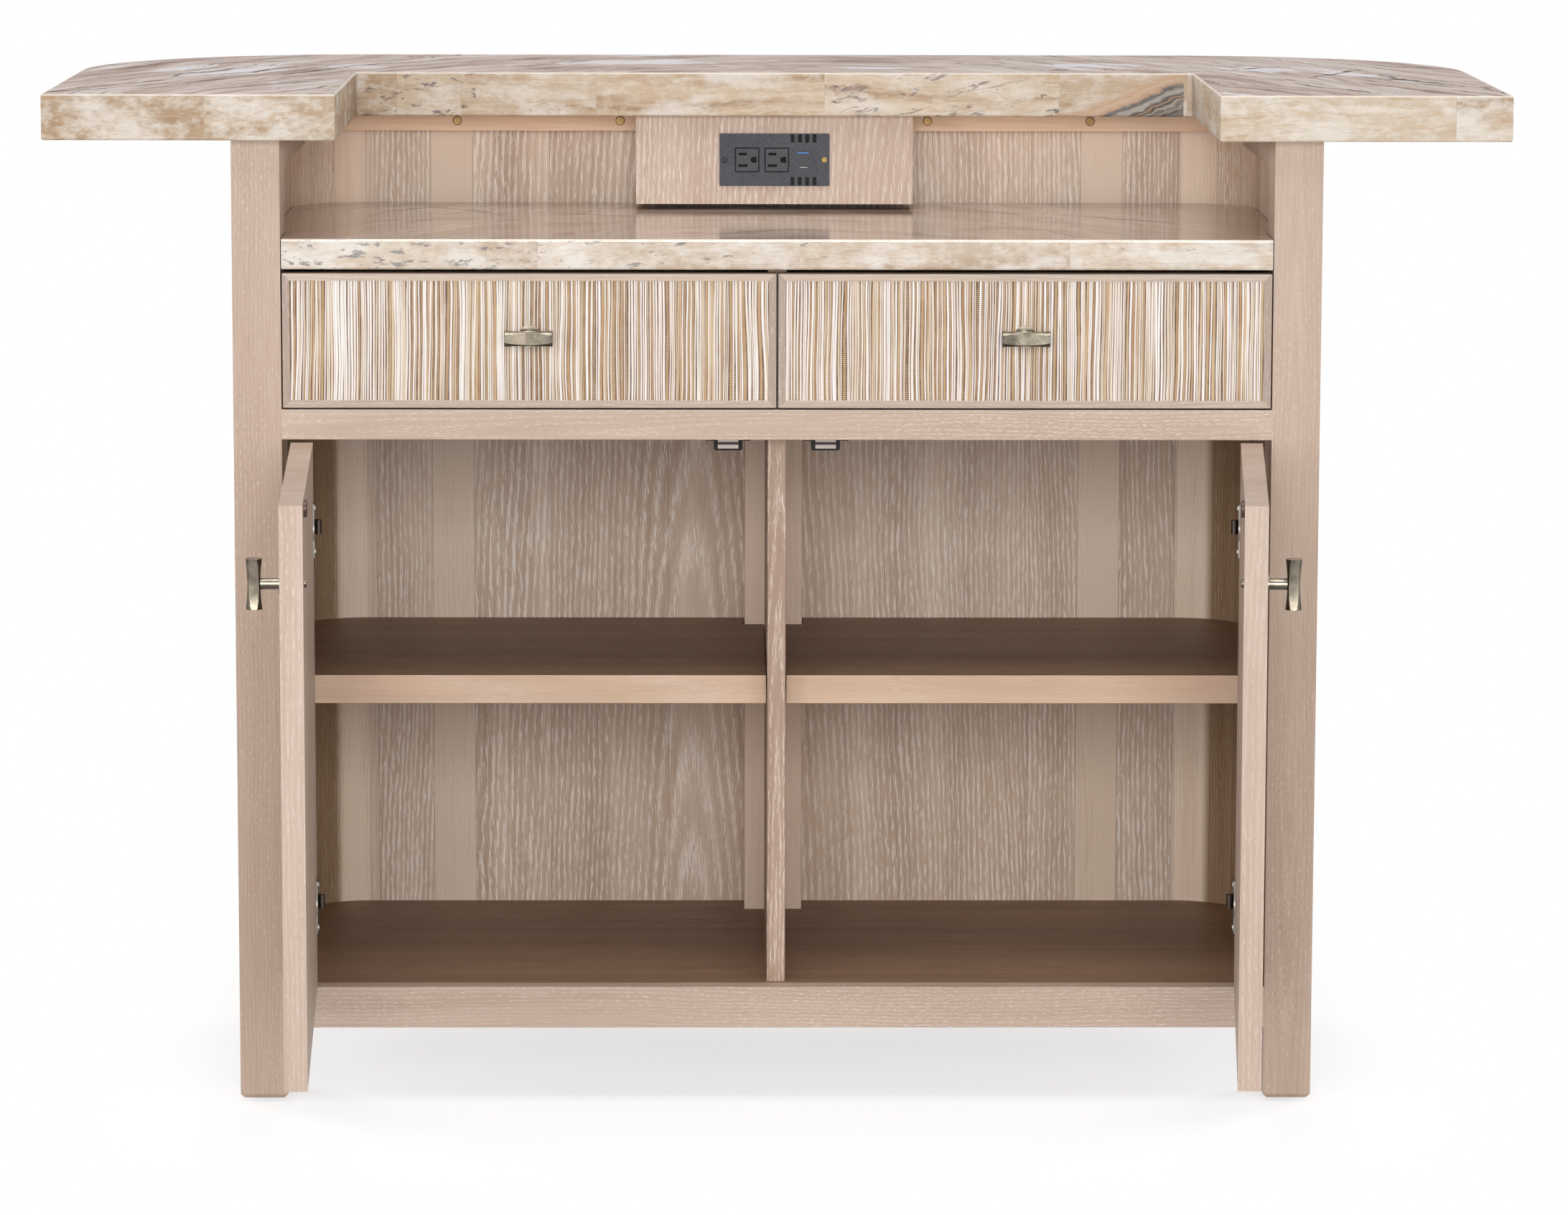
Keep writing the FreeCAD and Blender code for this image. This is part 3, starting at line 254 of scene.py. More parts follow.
def oak(name, grain, light, dark, heart=(0.0, 0.03), slope=0.02, lime=0.6, pore=0.60, rings=230.0,
        top=None, planks=None, lime_colour=(226, 214, 202), pull=0.16, short=75.0, fine=1500.0,
        figure=1.3, lower=None):
    """Open-grained oak between a light and a dark colour, with lime left in its pores.

    grain: the axis that the fibres follow, WALL for a board bent along the wall, VENEER for upright
    leaves laid side by side on it, or FRAME for the mitred drawer fronts, whose upright
    members take painted shade
    heart, slope, rings: place of the tree's heart across the board, its lean along the board, and
        the growth rings in a metre
    lime, lime_colour: amount and colour of the lime
    pore, pull, fine, short: the level past which a pore is filled, how much the rings draw the
        pores together, and how fine the pores are across and along the fibres
    figure: strength of the broad shading
    planks: places and shades of the leaves of veneer
    top: the two colours of faces that look up, darker partly by their finish and partly as painted
    shade
    lower: a height, and the tint of the painted shade that the wall's ends take below it, inside
    the cupboards
    """
    s = Shader(name)
    x, y, z = s.parts(s.place)
    joint = None
    tone_and_painted_shade = 0.5
    amount = lime
    if grain == "X":
        a, b, w = z, y, x
    elif grain == "Z":
        a, b, w = x, y, z
    elif grain == "WALL":
        a, b, w = z, BOARD_DEPTH, along_wall(s)
    elif grain == "FRAME":
        a, w, joint, upright = frame_axes(s, x, z)
        b = y
        # painted shade: the upright members are made darker than the level ones
        tone_and_painted_shade = s.minus(0.5, s.times(upright, 0.5))
    else:
        a, b, w = along_wall(s), BOARD_DEPTH, z
    if planks:
        # each leaf is cut from another place in the tree, and the palest hold little lime
        leaf, joint = s.strips(a, planks, LEAF_JOINT)
        scatter = s.add("ShaderNodeTexWhiteNoise", {"W": leaf}, noise_dimensions="1D")
        jumps = zip((a, b, w), s.parts(scatter.outputs["Color"]), LEAF_JUMPS)
        a, b, w = [s.total(place, s.times(jump, reach)) for place, jump, reach in jumps]
        tone_and_painted_shade = leaf
        amount = s.step(leaf, *PALE_LEAVES, lime, lime * PALE_LIME)
    fibres = s.joined(a, b, w)
    bend = s.noise(fibres, (11.0, 11.0, 2.2))
    waver = s.noise(fibres, (60.0, 60.0, 22.0))
    a_bent = s.total(a, s.total(s.swing(bend, 0.026), s.swing(waver, 0.003)))
    grained = s.joined(a_bent, b, w)
    # growth rings round a heart that leans away from the board's face
    across = s.minus(a_bent, heart[0])
    away = s.total(b, s.times(w, slope), heart[1])
    radius = s.vector("LENGTH", s.joined(across, away, 0.0))
    ring = s.math("SINE", s.times(radius, rings * math.tau))
    broad = s.noise(grained, (26.0, 26.0, 1.1), 3.0, 0.6)
    patch = s.noise(grained, (13.0, 13.0, 3.0))
    fibre = s.noise(grained, (900.0, 900.0, 18.0), 3.0, 0.65)
    pores = s.noise(grained, (fine, fine, short))
    pores = s.total(pores, s.times(ring, pull), s.swing(patch, 0.24))
    filled = s.step(pores, pore, pore + 0.07)
    tone = s.total(s.swing(broad, figure), s.swing(fibre, 0.9), s.times(ring, 0.06), tone_and_painted_shade)
    colour = s.mix(s.step(tone, 0.0, 1.0), srgb(*dark), srgb(*light))
    warm = s.noise(grained, (4.0, 4.0, 1.3))
    colour = s.mix(s.step(warm, 0.42, 0.68, 0.0, WARM_SHARE), colour, s.dyed(colour, WARM))
    colour = s.mix(s.times(filled, amount), colour, srgb(*lime_colour))
    if joint:
        colour = s.mix(s.times(joint, 0.5), colour, srgb(*JOINT_DARK))
    # painted shade: below the given height, the tint darkens the wall's ends past the corners
    if lower:
        height, tint = lower
        ends = s.step(s.size(along_wall(s)), *[corner_x + past for past in WALL_SHADE_SPAN])
        colour = s.mix(s.times(ends, s.below(z, height)), colour, s.dyed(colour, tint))
    # faces that look up take darker colours: partly their finish, partly painted shade
    if top:
        up = s.step(s.parts(s.normal)[2], 0.6, 0.8)
        mottle = s.step(s.total(s.times(fibre, 0.7), s.times(broad, 0.5)), 0.35, 0.85)
        colour = s.mix(up, colour, s.mix(mottle, srgb(*top[0]), srgb(*top[1])))
    relief = s.minus(s.times(fibre, 0.5), s.times(filled, 0.6))
    roughness = s.step(s.minus(fibre, s.times(filled, 0.3)), 0.1, 0.8,
                       OAK_ROUGH + 0.1, OAK_ROUGH - 0.05)
    return s.finish(colour, roughness, relief, depth=0.0003, strength=0.3)


# the darker colours of the shelves' upward faces: partly their finish, partly painted shade
SHELF_TOP_FINISH_AND_SHADE = ((110, 82, 62), (148, 115, 90))
# left edge and tone of each leaf, by its distance along the wall; the paler leaves from 0.452
# to 0.508 on each side lie on the curved corners and are painted highlight, where lamps glint
LEAVES = [(-1.0, 0.5), (-0.80, 0.4), (-0.68, 0.55), (-0.56, 0.42), (-0.508, 0.74), (-0.452, 0.5),
          (-0.390, 0.9), (-0.338, 0.47), (-0.250, 0.38), (-0.123, 0.44), (0.0, 0.48), (0.100, 0.48),
          (0.284, 0.58), (0.338, 1.0), (0.390, 0.43), (0.452, 0.72), (0.508, 0.44), (0.56, 0.4),
          (0.68, 0.56), (0.80, 0.45)]
VENEER = dict(heart=(0.0, 0.02), slope=0.045, lime=0.62, pore=0.55, rings=190.0, planks=LEAVES,
              pull=0.10, short=60.0, fine=1150.0, lime_colour=(250, 242, 234))
# grain, light colour, dark colour and further settings of each oak
OAKS = {
    "post_oak": ("Z", (192, 170, 153), (170, 145, 127),
                 dict(heart=(0.54, 0.08), slope=0.03, lime=0.4, pull=0.03, short=150.0,
                      fine=1200.0, figure=0.8)),
    "rail_oak": ("X", (198, 178, 161), (180, 157, 139),
                 dict(heart=(0.72, 0.09), pull=0.05, pore=0.585, short=170.0)),
    # paler than the rail's oak as painted light, where the bar top's overhang shades the ledgers
    "ledger_oak": ("X", (250, 216, 184), (228, 190, 156),
                   dict(heart=(0.72, 0.09), lime=0.3, pull=0.05, short=170.0)),
    # darker than the rail's oak as painted shade, as the bottom rail gets less light
    "base_oak": ("X", (192, 170, 154), (170, 146, 129),
                 dict(heart=(0.3, 0.09), lime=0.5, pull=0.05, short=170.0)),
    "wall_oak": ("WALL", (202, 181, 164), (172, 145, 126), dict(lime=0.45)),
    "board_oak": ("Z", (178, 152, 133), (148, 119, 100),
                  dict(heart=(0.0, 0.06), slope=0.03, pore=0.58, pull=0.1)),
    # paler wood, made paler still as painted light, where the divider shades the cleats
    "cleat_oak": ("Z", (250, 228, 208), (234, 208, 186),
                  dict(heart=(0.3, 0.06), lime=0.3, pull=0.05)),
    "door_oak": ("Z", (198, 177, 162), (176, 151, 134),
                 dict(heart=(0.2, 0.3), lime=0.4, pull=0.06, short=110.0)),
    "drawer_oak": ("FRAME", (196, 178, 162), (161, 143, 129),
                   dict(heart=(0.8, 0.1), lime=0.4, pull=0.06, short=110.0)),
    "box_oak": ("Z", (198, 177, 160), (179, 154, 136),
                dict(heart=(0.5, 0.3), slope=0.05, lime=0.8, pore=0.545, pull=0.07, short=60.0)),
    "veneer": ("VENEER", (222, 201, 180), (180, 154, 132), VENEER),
    # the side and corner linings are paler than the back's veneer as painted light, since the bar
    # top shades the niche's sides; below the worktop they take painted shade
    "side_veneer": ("VENEER", (238, 216, 194), (198, 168, 140),
                    dict(VENEER, lower=(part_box("worktop")[0].z, (170, 156, 136)))),
    "shelf_oak": ("X", (210, 183, 158), (189, 158, 134),
                  dict(heart=(0.43, 0.2), lime=0.25, pore=0.66, top=SHELF_TOP_FINISH_AND_SHADE)),
    "panel_veneer": ("X", (190, 168, 150), (150, 124, 107),
                     dict(heart=(0.12, 0.2), lime=0.3, pore=0.66, top=SHELF_TOP_FINISH_AND_SHADE)),
    "drawer_wood": ("X", (222, 196, 160), (196, 164, 126),
                    dict(heart=(0.8, 0.2), lime=0.1, pore=0.7)),
}
materials = {name: oak(name, grain, light, dark, **more)
             for name, (grain, light, dark, more) in OAKS.items()}


# ---- stone -------------------------------------------------------------------------------------
def stroke(s, place, start, end, width, fray):
    """How much a place lies on a tapering line between two points; fray adds to its distance."""
    run = (end[0] - start[0], end[1] - start[1], 0.0)
    length = math.hypot(run[0], run[1])
    past = s.vector("SUBTRACT", place, (start[0], start[1], 0.0))
    share = s.math("DIVIDE", s.vector("DOT_PRODUCT", past, run), length * length)
    share = s.lesser(s.greater(share, 0.0), 1.0)
    nearest = s.add("ShaderNodeVectorMath", {0: run, "Scale": share}, operation="SCALE")
    off = s.vector("LENGTH", s.vector("SUBTRACT", past, nearest.outputs["Vector"]))
    taper = s.times(share, s.minus(1.0, share), 4.0 * width)
    soft = 0.4 * width
    return s.step(s.minus(s.total(off, fray), taper), soft, -soft)


def stone_top(s, shift, patches, strokes):
    """Taupe body whose streaks arch across the slab, with milky patches and charcoal strokes, as
    seen on level faces. Also gives the broad cloud that it is shaded by."""
    x, y, _ = s.parts(s.place)
    flat = s.joined(s.total(x, shift), y, shift)
    swirl = s.noise(flat, (3.0, 3.0, 1.0), 3.0, 0.55)
    curl = s.noise(s.vector("ADD", flat, (5.0, 3.0, 0.0)), (5.0, 5.0, 1.0), 3.0, 0.55)
    arch = s.times(x, x, 1.8)
    along = s.total(x, s.times(swirl, 0.2), shift)
    across = s.total(y, arch, s.times(curl, 0.22))
    grained = s.joined(along, across, 0.0)
    cloud = s.noise(grained, (4.0, 6.0, 1.0), 4.0, 0.6)
    streak = s.noise(grained, (6.0, 21.0, 1.0), 5.0, 0.7)
    hair = s.noise(grained, (16.0, 90.0, 1.0), 4.0, 0.7)
    body = s.hues(s.total(s.times(cloud, 0.35), s.times(streak, 0.45), s.times(hair, 0.2)),
                  (0.38, 148, 127, 116), (0.44, 188, 168, 158), (0.50, 214, 198, 190),
                  (0.56, 224, 211, 204), (0.64, 238, 229, 224))
    bright = s.noise(s.vector("ADD", grained, (2.0, 7.0, 0.0)), (6.0, 15.0, 1.0), 5.0, 0.68)
    chosen = 0.0
    for centre, reach in patches:
        off = s.vector("SUBTRACT", s.place, (centre[0], centre[1], 0.0))
        off = s.vector("MULTIPLY", off, (1 / reach[0], 1 / reach[1], 0.0))
        chosen = s.greater(chosen, s.step(s.vector("LENGTH", off), 1.0, 0.2))
    milky = s.step(s.total(bright, s.times(chosen, 0.16)), 0.58, 0.66)
    colour = s.mix(s.times(milky, 0.85), body, srgb(242, 237, 240))
    grains = s.noise(grained, (70.0, 70.0, 1.0), 4.0, 0.75)
    colour = s.mix(s.step(grains, 0.66, 0.72, 0.0, 0.6), colour, srgb(234, 226, 220))
    waver = s.noise(flat, (14.0, 10.0, 1.0), 3.0, 0.55)
    bent = s.joined(s.total(x, s.swing(waver, 0.07)), y, 0.0)
    ragged = s.step(hair, 0.34, 0.52, 0.2, 1.0)
    fray = s.swing(streak, 0.022)
    for start, end, width in strokes:
        seen = s.times(stroke(s, bent, start, end, width, fray), ragged, 0.85)
        colour = s.mix(seen, colour, srgb(82, 68, 66))
    crack = s.noise(s.vector("ADD", grained, (4.0, 4.0, 0.0)), (2.6, 9.0, 1.0), 4.0, 0.6)
    thin = s.times(s.line(crack, 0.5, 0.02), ragged, s.step(cloud, 0.46, 0.56), 0.7)
    return s.mix(thin, colour, srgb(96, 78, 72)), cloud


def vein_band(s, colour, band):
    """A stretch of edge where peach and slate veins rise to the right."""
    x, _, z = s.parts(s.place)
    ripple = s.noise(s.place, (12.0, 12.0, 26.0), 4.0, 0.65)
    lean = s.times(s.minus(z, band["foot"]), band["lean"])
    across = s.minus(s.minus(x, band["start"]), lean)
    across = s.total(across, s.swing(ripple, 0.09))
    painted = s.hues(s.math("DIVIDE", across, band["width"]), *band["colours"])
    thin = s.noise(s.joined(s.times(across, 90.0), 0.0, s.times(x, 12.0)), None, 4.0, 0.7)
    painted = s.mix(s.step(thin, 0.45, 0.75, 0.0, 0.5), painted, srgb(222, 206, 188))
    painted = s.dyed(painted, (227, 235, 242))
    inside = s.times(s.step(across, 0.0, 0.012), s.below(x, band["end"]))
    inside = s.times(inside, s.above(x, band["start"]), 0.9)
    return s.mix(inside, colour, painted)


def rising_veins(s, colour, band):
    """Thin grey veins that rise to the right, before the band."""
    x, _, z = s.parts(s.place)
    across = s.minus(x, s.times(s.minus(z, band["foot"]), 4.5))
    ripple = s.noise(s.place, (24.0, 24.0, 40.0), 4.0, 0.65)
    across = s.total(across, s.times(ripple, 0.07))
    drawn = s.noise(s.joined(s.times(across, 9.0), 0.0, s.times(x, 5.0)), None, 3.0, 0.6)
    broken = s.step(s.noise(s.place, (30.0, 30.0, 60.0), 3.0, 0.6), 0.46, 0.58)
    inside = s.times(s.above(x, band["veins"]), s.below(x, band["start"]))
    seen = s.times(s.times(s.line(drawn, 0.5, 0.02), broken), s.times(inside, 0.75))
    return s.mix(seen, colour, srgb(120, 112, 112))


def stone_edge(s, joints, spots, tans, band):
    """Cream and tan edge: each glued strip has its own run of bands, milk, stains and specks."""
    x, y, z = s.parts(s.place)
    run = s.total(x, s.times(y, 0.7))
    strip, seam = s.strips(x, joints, 0.0009)
    far = s.times(strip, 7.3)
    drawn = s.joined(s.total(run, far), y, s.total(z, far))
    wave = s.noise(drawn, (5.0, 5.0, 9.0), 4.0, 0.55)
    level = s.total(z, far, s.times(wave, 0.06))
    bands = s.noise(s.joined(s.times(run, 2.4), far, s.times(level, 60.0)), None, 4.0, 0.6)
    edge = s.hues(bands, (0.30, 166, 140, 114), (0.38, 184, 161, 136), (0.45, 200, 181, 158),
                  (0.53, 208, 193, 174), (0.60, 196, 178, 155), (0.68, 214, 202, 186))
    tan = s.noise(drawn, (5.0, 5.0, 36.0), 4.0, 0.55)
    brushed = s.noise(drawn, (190.0, 190.0, 18.0), 3.0, 0.6)
    stained = s.strips(x, tans, 0.001)[0]
    edge = s.mix(s.times(stained, 0.65), edge, srgb(148, 122, 96))
    stain = s.times(s.step(s.total(tan, s.times(stained, 0.2)), 0.50, 0.74),
                    s.step(brushed, 0.30, 0.75, 0.5, 1.0), 0.7)
    edge = s.mix(stain, edge, srgb(168, 140, 112))
    milk = s.noise(drawn, (11.0, 11.0, 24.0), 6.0, 0.68)
    edge = s.mix(s.step(milk, 0.47, 0.62, 0.0, 0.75), edge, srgb(217, 210, 201))
    haze = s.noise(drawn, (70.0, 70.0, 110.0), 4.0, 0.65)
    edge = s.mix(s.step(haze, 0.42, 0.7, 0.0, 0.4), edge, srgb(222, 216, 208))
    edge = s.mix(s.line(tan, 0.5, 0.008, 0.3), edge, srgb(230, 220, 206))
    edge = s.mix(s.line(bands, 0.49, 0.012, 0.4), edge, srgb(186, 150, 112))
    soiled = s.strips(x, spots, 0.001)[0]
    speck = s.noise(drawn, (42.0, 42.0, 120.0), 5.0, 0.72)
    dirt = s.step(s.total(speck, s.times(soiled, 0.13)), 0.68, 0.73)
    edge = s.mix(s.times(dirt, 0.8), edge, srgb(104, 98, 98))
    if band:
        edge = vein_band(s, rising_veins(s, edge, band), band)
    return s.mix(s.times(seam, 0.2), edge, srgb(150, 130, 112))


def stone(name, marks, shift, gloss, tint=(255, 255, 255), band=None):
    """Onyx slab, cut from the stone at a shift along it. Its marks list, by place across the slab,
    the strips glued round its edge, how specked they are and how stained, then the pale patches
    and the dark strokes on its top."""
    s = Shader(name)
    joints, spots, tans, patches, strokes = marks
    top, cloud = stone_top(s, shift, patches, strokes)
    # a tint other than white is painted shade: the worktop's copy of the stone is darker than the
    # bar top's
    top = s.dyed(top, tint)
    edge = stone_edge(s, joints, spots, tans, band)
    level = s.parts(s.normal)[2]
    # painted highlight: the rounded arris between edge and top is made paler, as though it caught
    # the light
    arris_highlight = s.times(s.step(level, 0.1, 0.5), 0.6)
    edge = s.mix(arris_highlight, edge, srgb(240, 232, 222))
    up = s.step(level, 0.90, 0.98)
    return s.finish(s.mix(up, edge, top), s.step(cloud, 0.3, 0.7, 0.1, 0.16), IOR=1.5,
                    Specular_IOR_Level=gloss)


# grey veins run from "veins" to "start", and the band of colours from there to "end", in metres
PEACH = {
    "veins": 0.052, "start": 0.306, "end": 0.449, "foot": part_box("bar_top")[0].z, "lean": 2.7,
    "width": 0.15,
    "colours": [(0.0, 200, 176, 148), (0.05, 216, 180, 148), (0.12, 214, 172, 138),
                (0.17, 220, 186, 156), (0.27, 206, 166, 134), (0.31, 128, 118, 116),
                (0.35, 98, 92, 94), (0.39, 164, 156, 146), (0.45, 180, 171, 159),
                (0.50, 70, 66, 72), (0.54, 176, 140, 112), (0.58, 56, 54, 60),
                (0.63, 168, 150, 132), (0.68, 76, 72, 76), (0.74, 150, 134, 120),
                (0.80, 52, 50, 58), (0.90, 136, 126, 120), (1.0, 74, 70, 76)],
}
BAR_MARKS = (
    [(-1.0, 0.1), (-0.60, 0.7), (-0.35, 0.35), (-0.20, 0.9), (0.052, 0.55), (0.306, 0.2),
     (0.449, 0.65), (0.70, 0.8)],
    [(-1.0, 0.15), (-0.457, 0.9), (-0.33, 0.1), (0.052, 0.5), (0.306, 0.1)],
    [(-1.0, 1.0), (-0.60, 0.8), (-0.42, 0.3), (-0.20, 0.05), (0.052, 0.0), (0.306, 0.4),
     (0.449, 0.25)],
    [((-0.62, 0.29), (0.12, 0.17)), ((-0.47, 0.36), (0.08, 0.10)), ((-0.15, 0.45), (0.16, 0.09)),
     ((0.35, 0.40), (0.10, 0.10)), ((0.54, 0.33), (0.10, 0.08)), ((0.62, 0.24), (0.05, 0.08)),
     ((0.10, 0.35), (0.10, 0.04))],
    [((-0.76, -0.10), (-0.58, 0.14), 0.004), ((-0.75, -0.03), (-0.62, 0.17), 0.003),
     ((-0.68, 0.14), (-0.56, 0.40), 0.005), ((-0.62, 0.17), (-0.53, 0.36), 0.004),
     ((-0.56, 0.17), (-0.47, 0.36), 0.005), ((-0.54, 0.29), (-0.42, 0.44), 0.003),
     ((-0.63, 0.40), (-0.52, 0.50), 0.004), ((-0.38, 0.34), (-0.16, 0.46), 0.003),
     ((0.45, 0.28), (0.58, 0.40), 0.003), ((0.58, 0.18), (0.65, 0.33), 0.004),
     ((0.54, 0.10), (0.64, -0.10), 0.005), ((0.56, 0.30), (0.74, 0.08), 0.004),
     ((0.64, 0.28), (0.77, -0.08), 0.005), ((0.62, 0.46), (0.74, 0.36), 0.004)],
)
WORKTOP_MARKS = (
    [(-1.0, 0.45), (-0.25, 0.85), (0.02, 0.3), (0.30, 0.65)],
    [(-1.0, 1.0), (-0.26, 0.7), (-0.05, 0.35)],
    [(-1.0, 0.45), (0.30, 0.4)],
    [((-0.35, 0.30), (0.12, 0.10)), ((0.25, 0.34), (0.14, 0.08))],
    [((-0.44, 0.22), (-0.33, 0.40), 0.007), ((-0.40, 0.36), (-0.30, 0.20), 0.007),
     ((-0.46, 0.12), (-0.30, 0.16), 0.006), ((-0.28, 0.26), (-0.12, 0.17), 0.004),
     ((-0.05, 0.20), (0.10, 0.12), 0.005), ((0.14, 0.30), (0.30, 0.22), 0.006),
     ((0.33, 0.20), (0.44, 0.10), 0.006)],
)
materials["bar_stone"] = stone("bar_stone", BAR_MARKS, shift=0.0, gloss=0.0, band=PEACH)
# the worktop's tint is painted shade, as the bar top above shades it
materials["worktop_stone"] = stone("worktop_stone", WORKTOP_MARKS, shift=1.7, gloss=0.95,
                                   tint=(226, 214, 202))


# ---- metals and plastics -----------------------------------------------------------------------
def metal(name, colour, rough, other=None, patina=0.9, under=None):
    """Satin metal. other is its colour right of the middle, patina how dark its dull spots are,
    under how much painted shade darkens the faces that look down or aside."""
    s = Shader(name)
    brushed = s.noise(s.place, (900.0, 900.0, 900.0), 3.0, 0.7)
    rubbed = s.noise(s.place, (60.0, 60.0, 60.0), 4.0, 0.6)
    dull = [value * patina for value in colour]
    tint = s.mix(s.step(rubbed, 0.35, 0.7), srgb(*colour), srgb(*dull))
    # painted shade: faces that look down or aside are darkened towards a dark brown
    if under:
        aside, _, up = s.parts(s.normal)
        away = s.greater(s.step(up, 0.15, -0.55), s.step(s.size(aside), 0.35, 0.85))
        tint = s.mix(s.times(away, under), tint, srgb(58, 50, 44))
    if other:
        tint = s.mix(s.above(s.parts(s.place)[0], 0.0), tint, srgb(*other))
    worn = s.times(s.total(brushed, rubbed), 0.5)
    return s.finish(tint, s.step(worn, 0.3, 0.7, rough, rough + 0.1), brushed, depth=0.00003,
                    strength=0.2, Metallic=1.0)


def plastic(name, colour, rough, grain=900.0, deep=None):
    """Moulded plastic with a fine pebble; past the plane y = deep it is painted black, as the shade
    inside a hole.
    """
    s = Shader(name)
    pebble = s.noise(s.place, (grain, grain, grain), 2.0, 0.6)
    smear = s.noise(s.place, (25.0, 25.0, 25.0), 3.0, 0.55)
    tint = s.mix(s.step(pebble, 0.3, 0.75), srgb(*[value * 0.86 for value in colour]),
                 srgb(*[min(255, value * 1.16) for value in colour]))
    # painted shade: past the plane y = deep the plastic is black, as inside a hole
    if deep is not None:
        tint = s.mix(s.above(s.parts(s.place)[1], deep), tint, srgb(5, 5, 5))
    return s.finish(tint, s.step(smear, 0.3, 0.7, rough - 0.05, rough + 0.08), pebble,
                    depth=0.00012, strength=0.5, Specular_IOR_Level=0.15)


def port_blue(name):
    """Blue tongue in the wider port, silver in the narrow one, dark round them."""
    s = Shader(name)
    x, _, z = s.parts(s.place)
    low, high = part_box("usb_ports")

    def tongue(level, half, reach):
        """Flat piece round a level, as far as a reach from the ports' left end."""
        return s.times(s.step(s.size(s.minus(z, level)), half, half - 0.0003),
                       s.below(x, low.x + reach))

    colour = s.mix(tongue(high.z - 0.0024, 0.0010, 0.0124), srgb(20, 24, 32), srgb(58, 116, 184))
    colour = s.mix(tongue(low.z + 0.0013, 0.0007, 0.0107), colour, srgb(160, 160, 158))
    return s.finish(colour, 0.4, Specular_IOR_Level=0.3)


def magnet_steel(name):
    """Two bright pole plates with the dark magnet between them."""
    s = Shader(name)
    low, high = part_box("catch_faces")
    off = s.size(s.minus(s.parts(s.place)[2], 0.45 * low.z + 0.55 * high.z))
    colour = s.mix(s.step(off, 0.0012, 0.0018), srgb(44, 40, 40), srgb(124, 116, 110))
    return s.finish(colour, 0.34, Metallic=1.0)


plate_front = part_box("outlet_plate")[0].y
for name, make, settings in (
        ("nickel", metal, dict(colour=(142, 133, 118), rough=0.17, patina=0.66, under=0.75)),
        ("steel", metal, dict(colour=(150, 147, 142), rough=0.28)),
        ("dark_steel", metal, dict(colour=(84, 74, 68), rough=0.3)),
        ("bronze", metal, dict(colour=(96, 82, 76), rough=0.36)),
        ("brass", metal, dict(colour=(140, 112, 74), rough=0.4)),
        ("screw_steel", metal, dict(colour=(52, 50, 50), rough=0.4, other=(128, 104, 70))),
        ("charcoal", plastic, dict(colour=(76, 77, 82), rough=0.5, deep=plate_front + 0.001)),
        ("socket_grey", plastic, dict(colour=(80, 79, 83), rough=0.5, deep=plate_front + 0.0002)),
        ("black", plastic, dict(colour=(16, 15, 15), rough=0.4)),
        ("usb_blue", port_blue, {}),
        ("magnet_steel", magnet_steel, {}),
        ("glide_grey", plastic, dict(colour=(120, 116, 112), rough=0.5, grain=400.0))):
    materials[name] = make(name, **settings)

DRESS = {
    "post_oak": ["post_left", "post_right", "rear_legs", "clad_stiles"],
    "rail_oak": ["drawer_rail"],
    "base_oak": ["bottom_rail"],
    "ledger_oak": ["back_ledgers"],
    "wall_oak": ["clad_base_rails", "clad_top_rails", "clad_panels"],
    "board_oak": ["center_divider"],
    "cleat_oak": ["divider_cleats"],
    "door_oak": ["door_panel_left", "door_panel_right"],
    "drawer_oak": ["drawer_front_left", "drawer_front_right"],
    "box_oak": ["power_box_front"],
    "veneer": ["back_lining"],
    "side_veneer": ["side_lining_left", "side_lining_right", "corner_linings"],
    "shelf_oak": ["shelf_left", "shelf_right"],
    "panel_veneer": ["bottom_panel", "drawer_deck", "drawer_partition", "power_box_sides",
                     "side_cleats"],
    "drawer_wood": ["drawer_box_left", "drawer_box_right"],
    "bar_stone": ["bar_top"],
    "worktop_stone": ["worktop"],
    "nickel": ["door_pull_left", "door_pull_right", "drawer_pull_left", "drawer_pull_right"],
    "steel": ["hinge_cups_left", "hinge_cups_right", "slide_channels", "drawer_slides_left",
              "drawer_slides_right", "shelf_pins"],
    "magnet_steel": ["catch_faces"],
    "dark_steel": ["hinge_links_left", "hinge_links_right", "hinge_arms"],
    "bronze": ["door_strike_left", "door_strike_right"],
    "brass": ["ledger_screws"],
    "screw_steel": ["plate_screws"],
    "charcoal": ["outlet_plate"],
    "socket_grey": ["socket_faces"],
    "black": ["catch_bodies", "outlet_module"],
    "usb_blue": ["usb_ports"],
    "glide_grey": ["glides"],
}


def wear(obj, material):
    obj.data.materials.clear()
    obj.data.materials.append(material)


for name, members in DRESS.items():
    for member in members:
        wear(nodes[member], materials[name])


# ---- woven reed panels -------------------------------------------------------------------------
THREAD_PITCH = 0.0021           # metres from one weaving thread to the next
# each kind of reed: the draw up to which it is chosen, its tones, and its widths in metres
REED_KINDS = [(0.50, (0.70, 0.94), (0.0013, 0.0027)), (0.68, (0.52, 0.68), (0.0012, 0.0026)),
              (0.96, (0.30, 0.46), (0.0012, 0.0034)), (math.inf, (0.18, 0.28), (0.0010, 0.0020))]
DARK_REED = 0.45
EDGE_SHADE = 0.9                # tone of a reed's edges against its ridge
WIDE_GAPS = (0.0005, 0.0010)    # metres between reeds, for the share below, and for the rest
WIDE_SHARE = 0.28
FINE_GAPS = (0.0, 0.0004)
TILT = 0.004                    # spread of the reeds' slopes
REED_LIFT = 0.00008             # heights above the panel's face, in metres
REED_RISE = 0.0007
GROUND_LIFT = 0.00005
GROUND_TONE = 0.04
GROUND_STEP = 0.05              # the ground is cut up this finely to follow the bends
BACK_GAP = 0.0002               # from the back of a cloth to the sheet that stands in for it


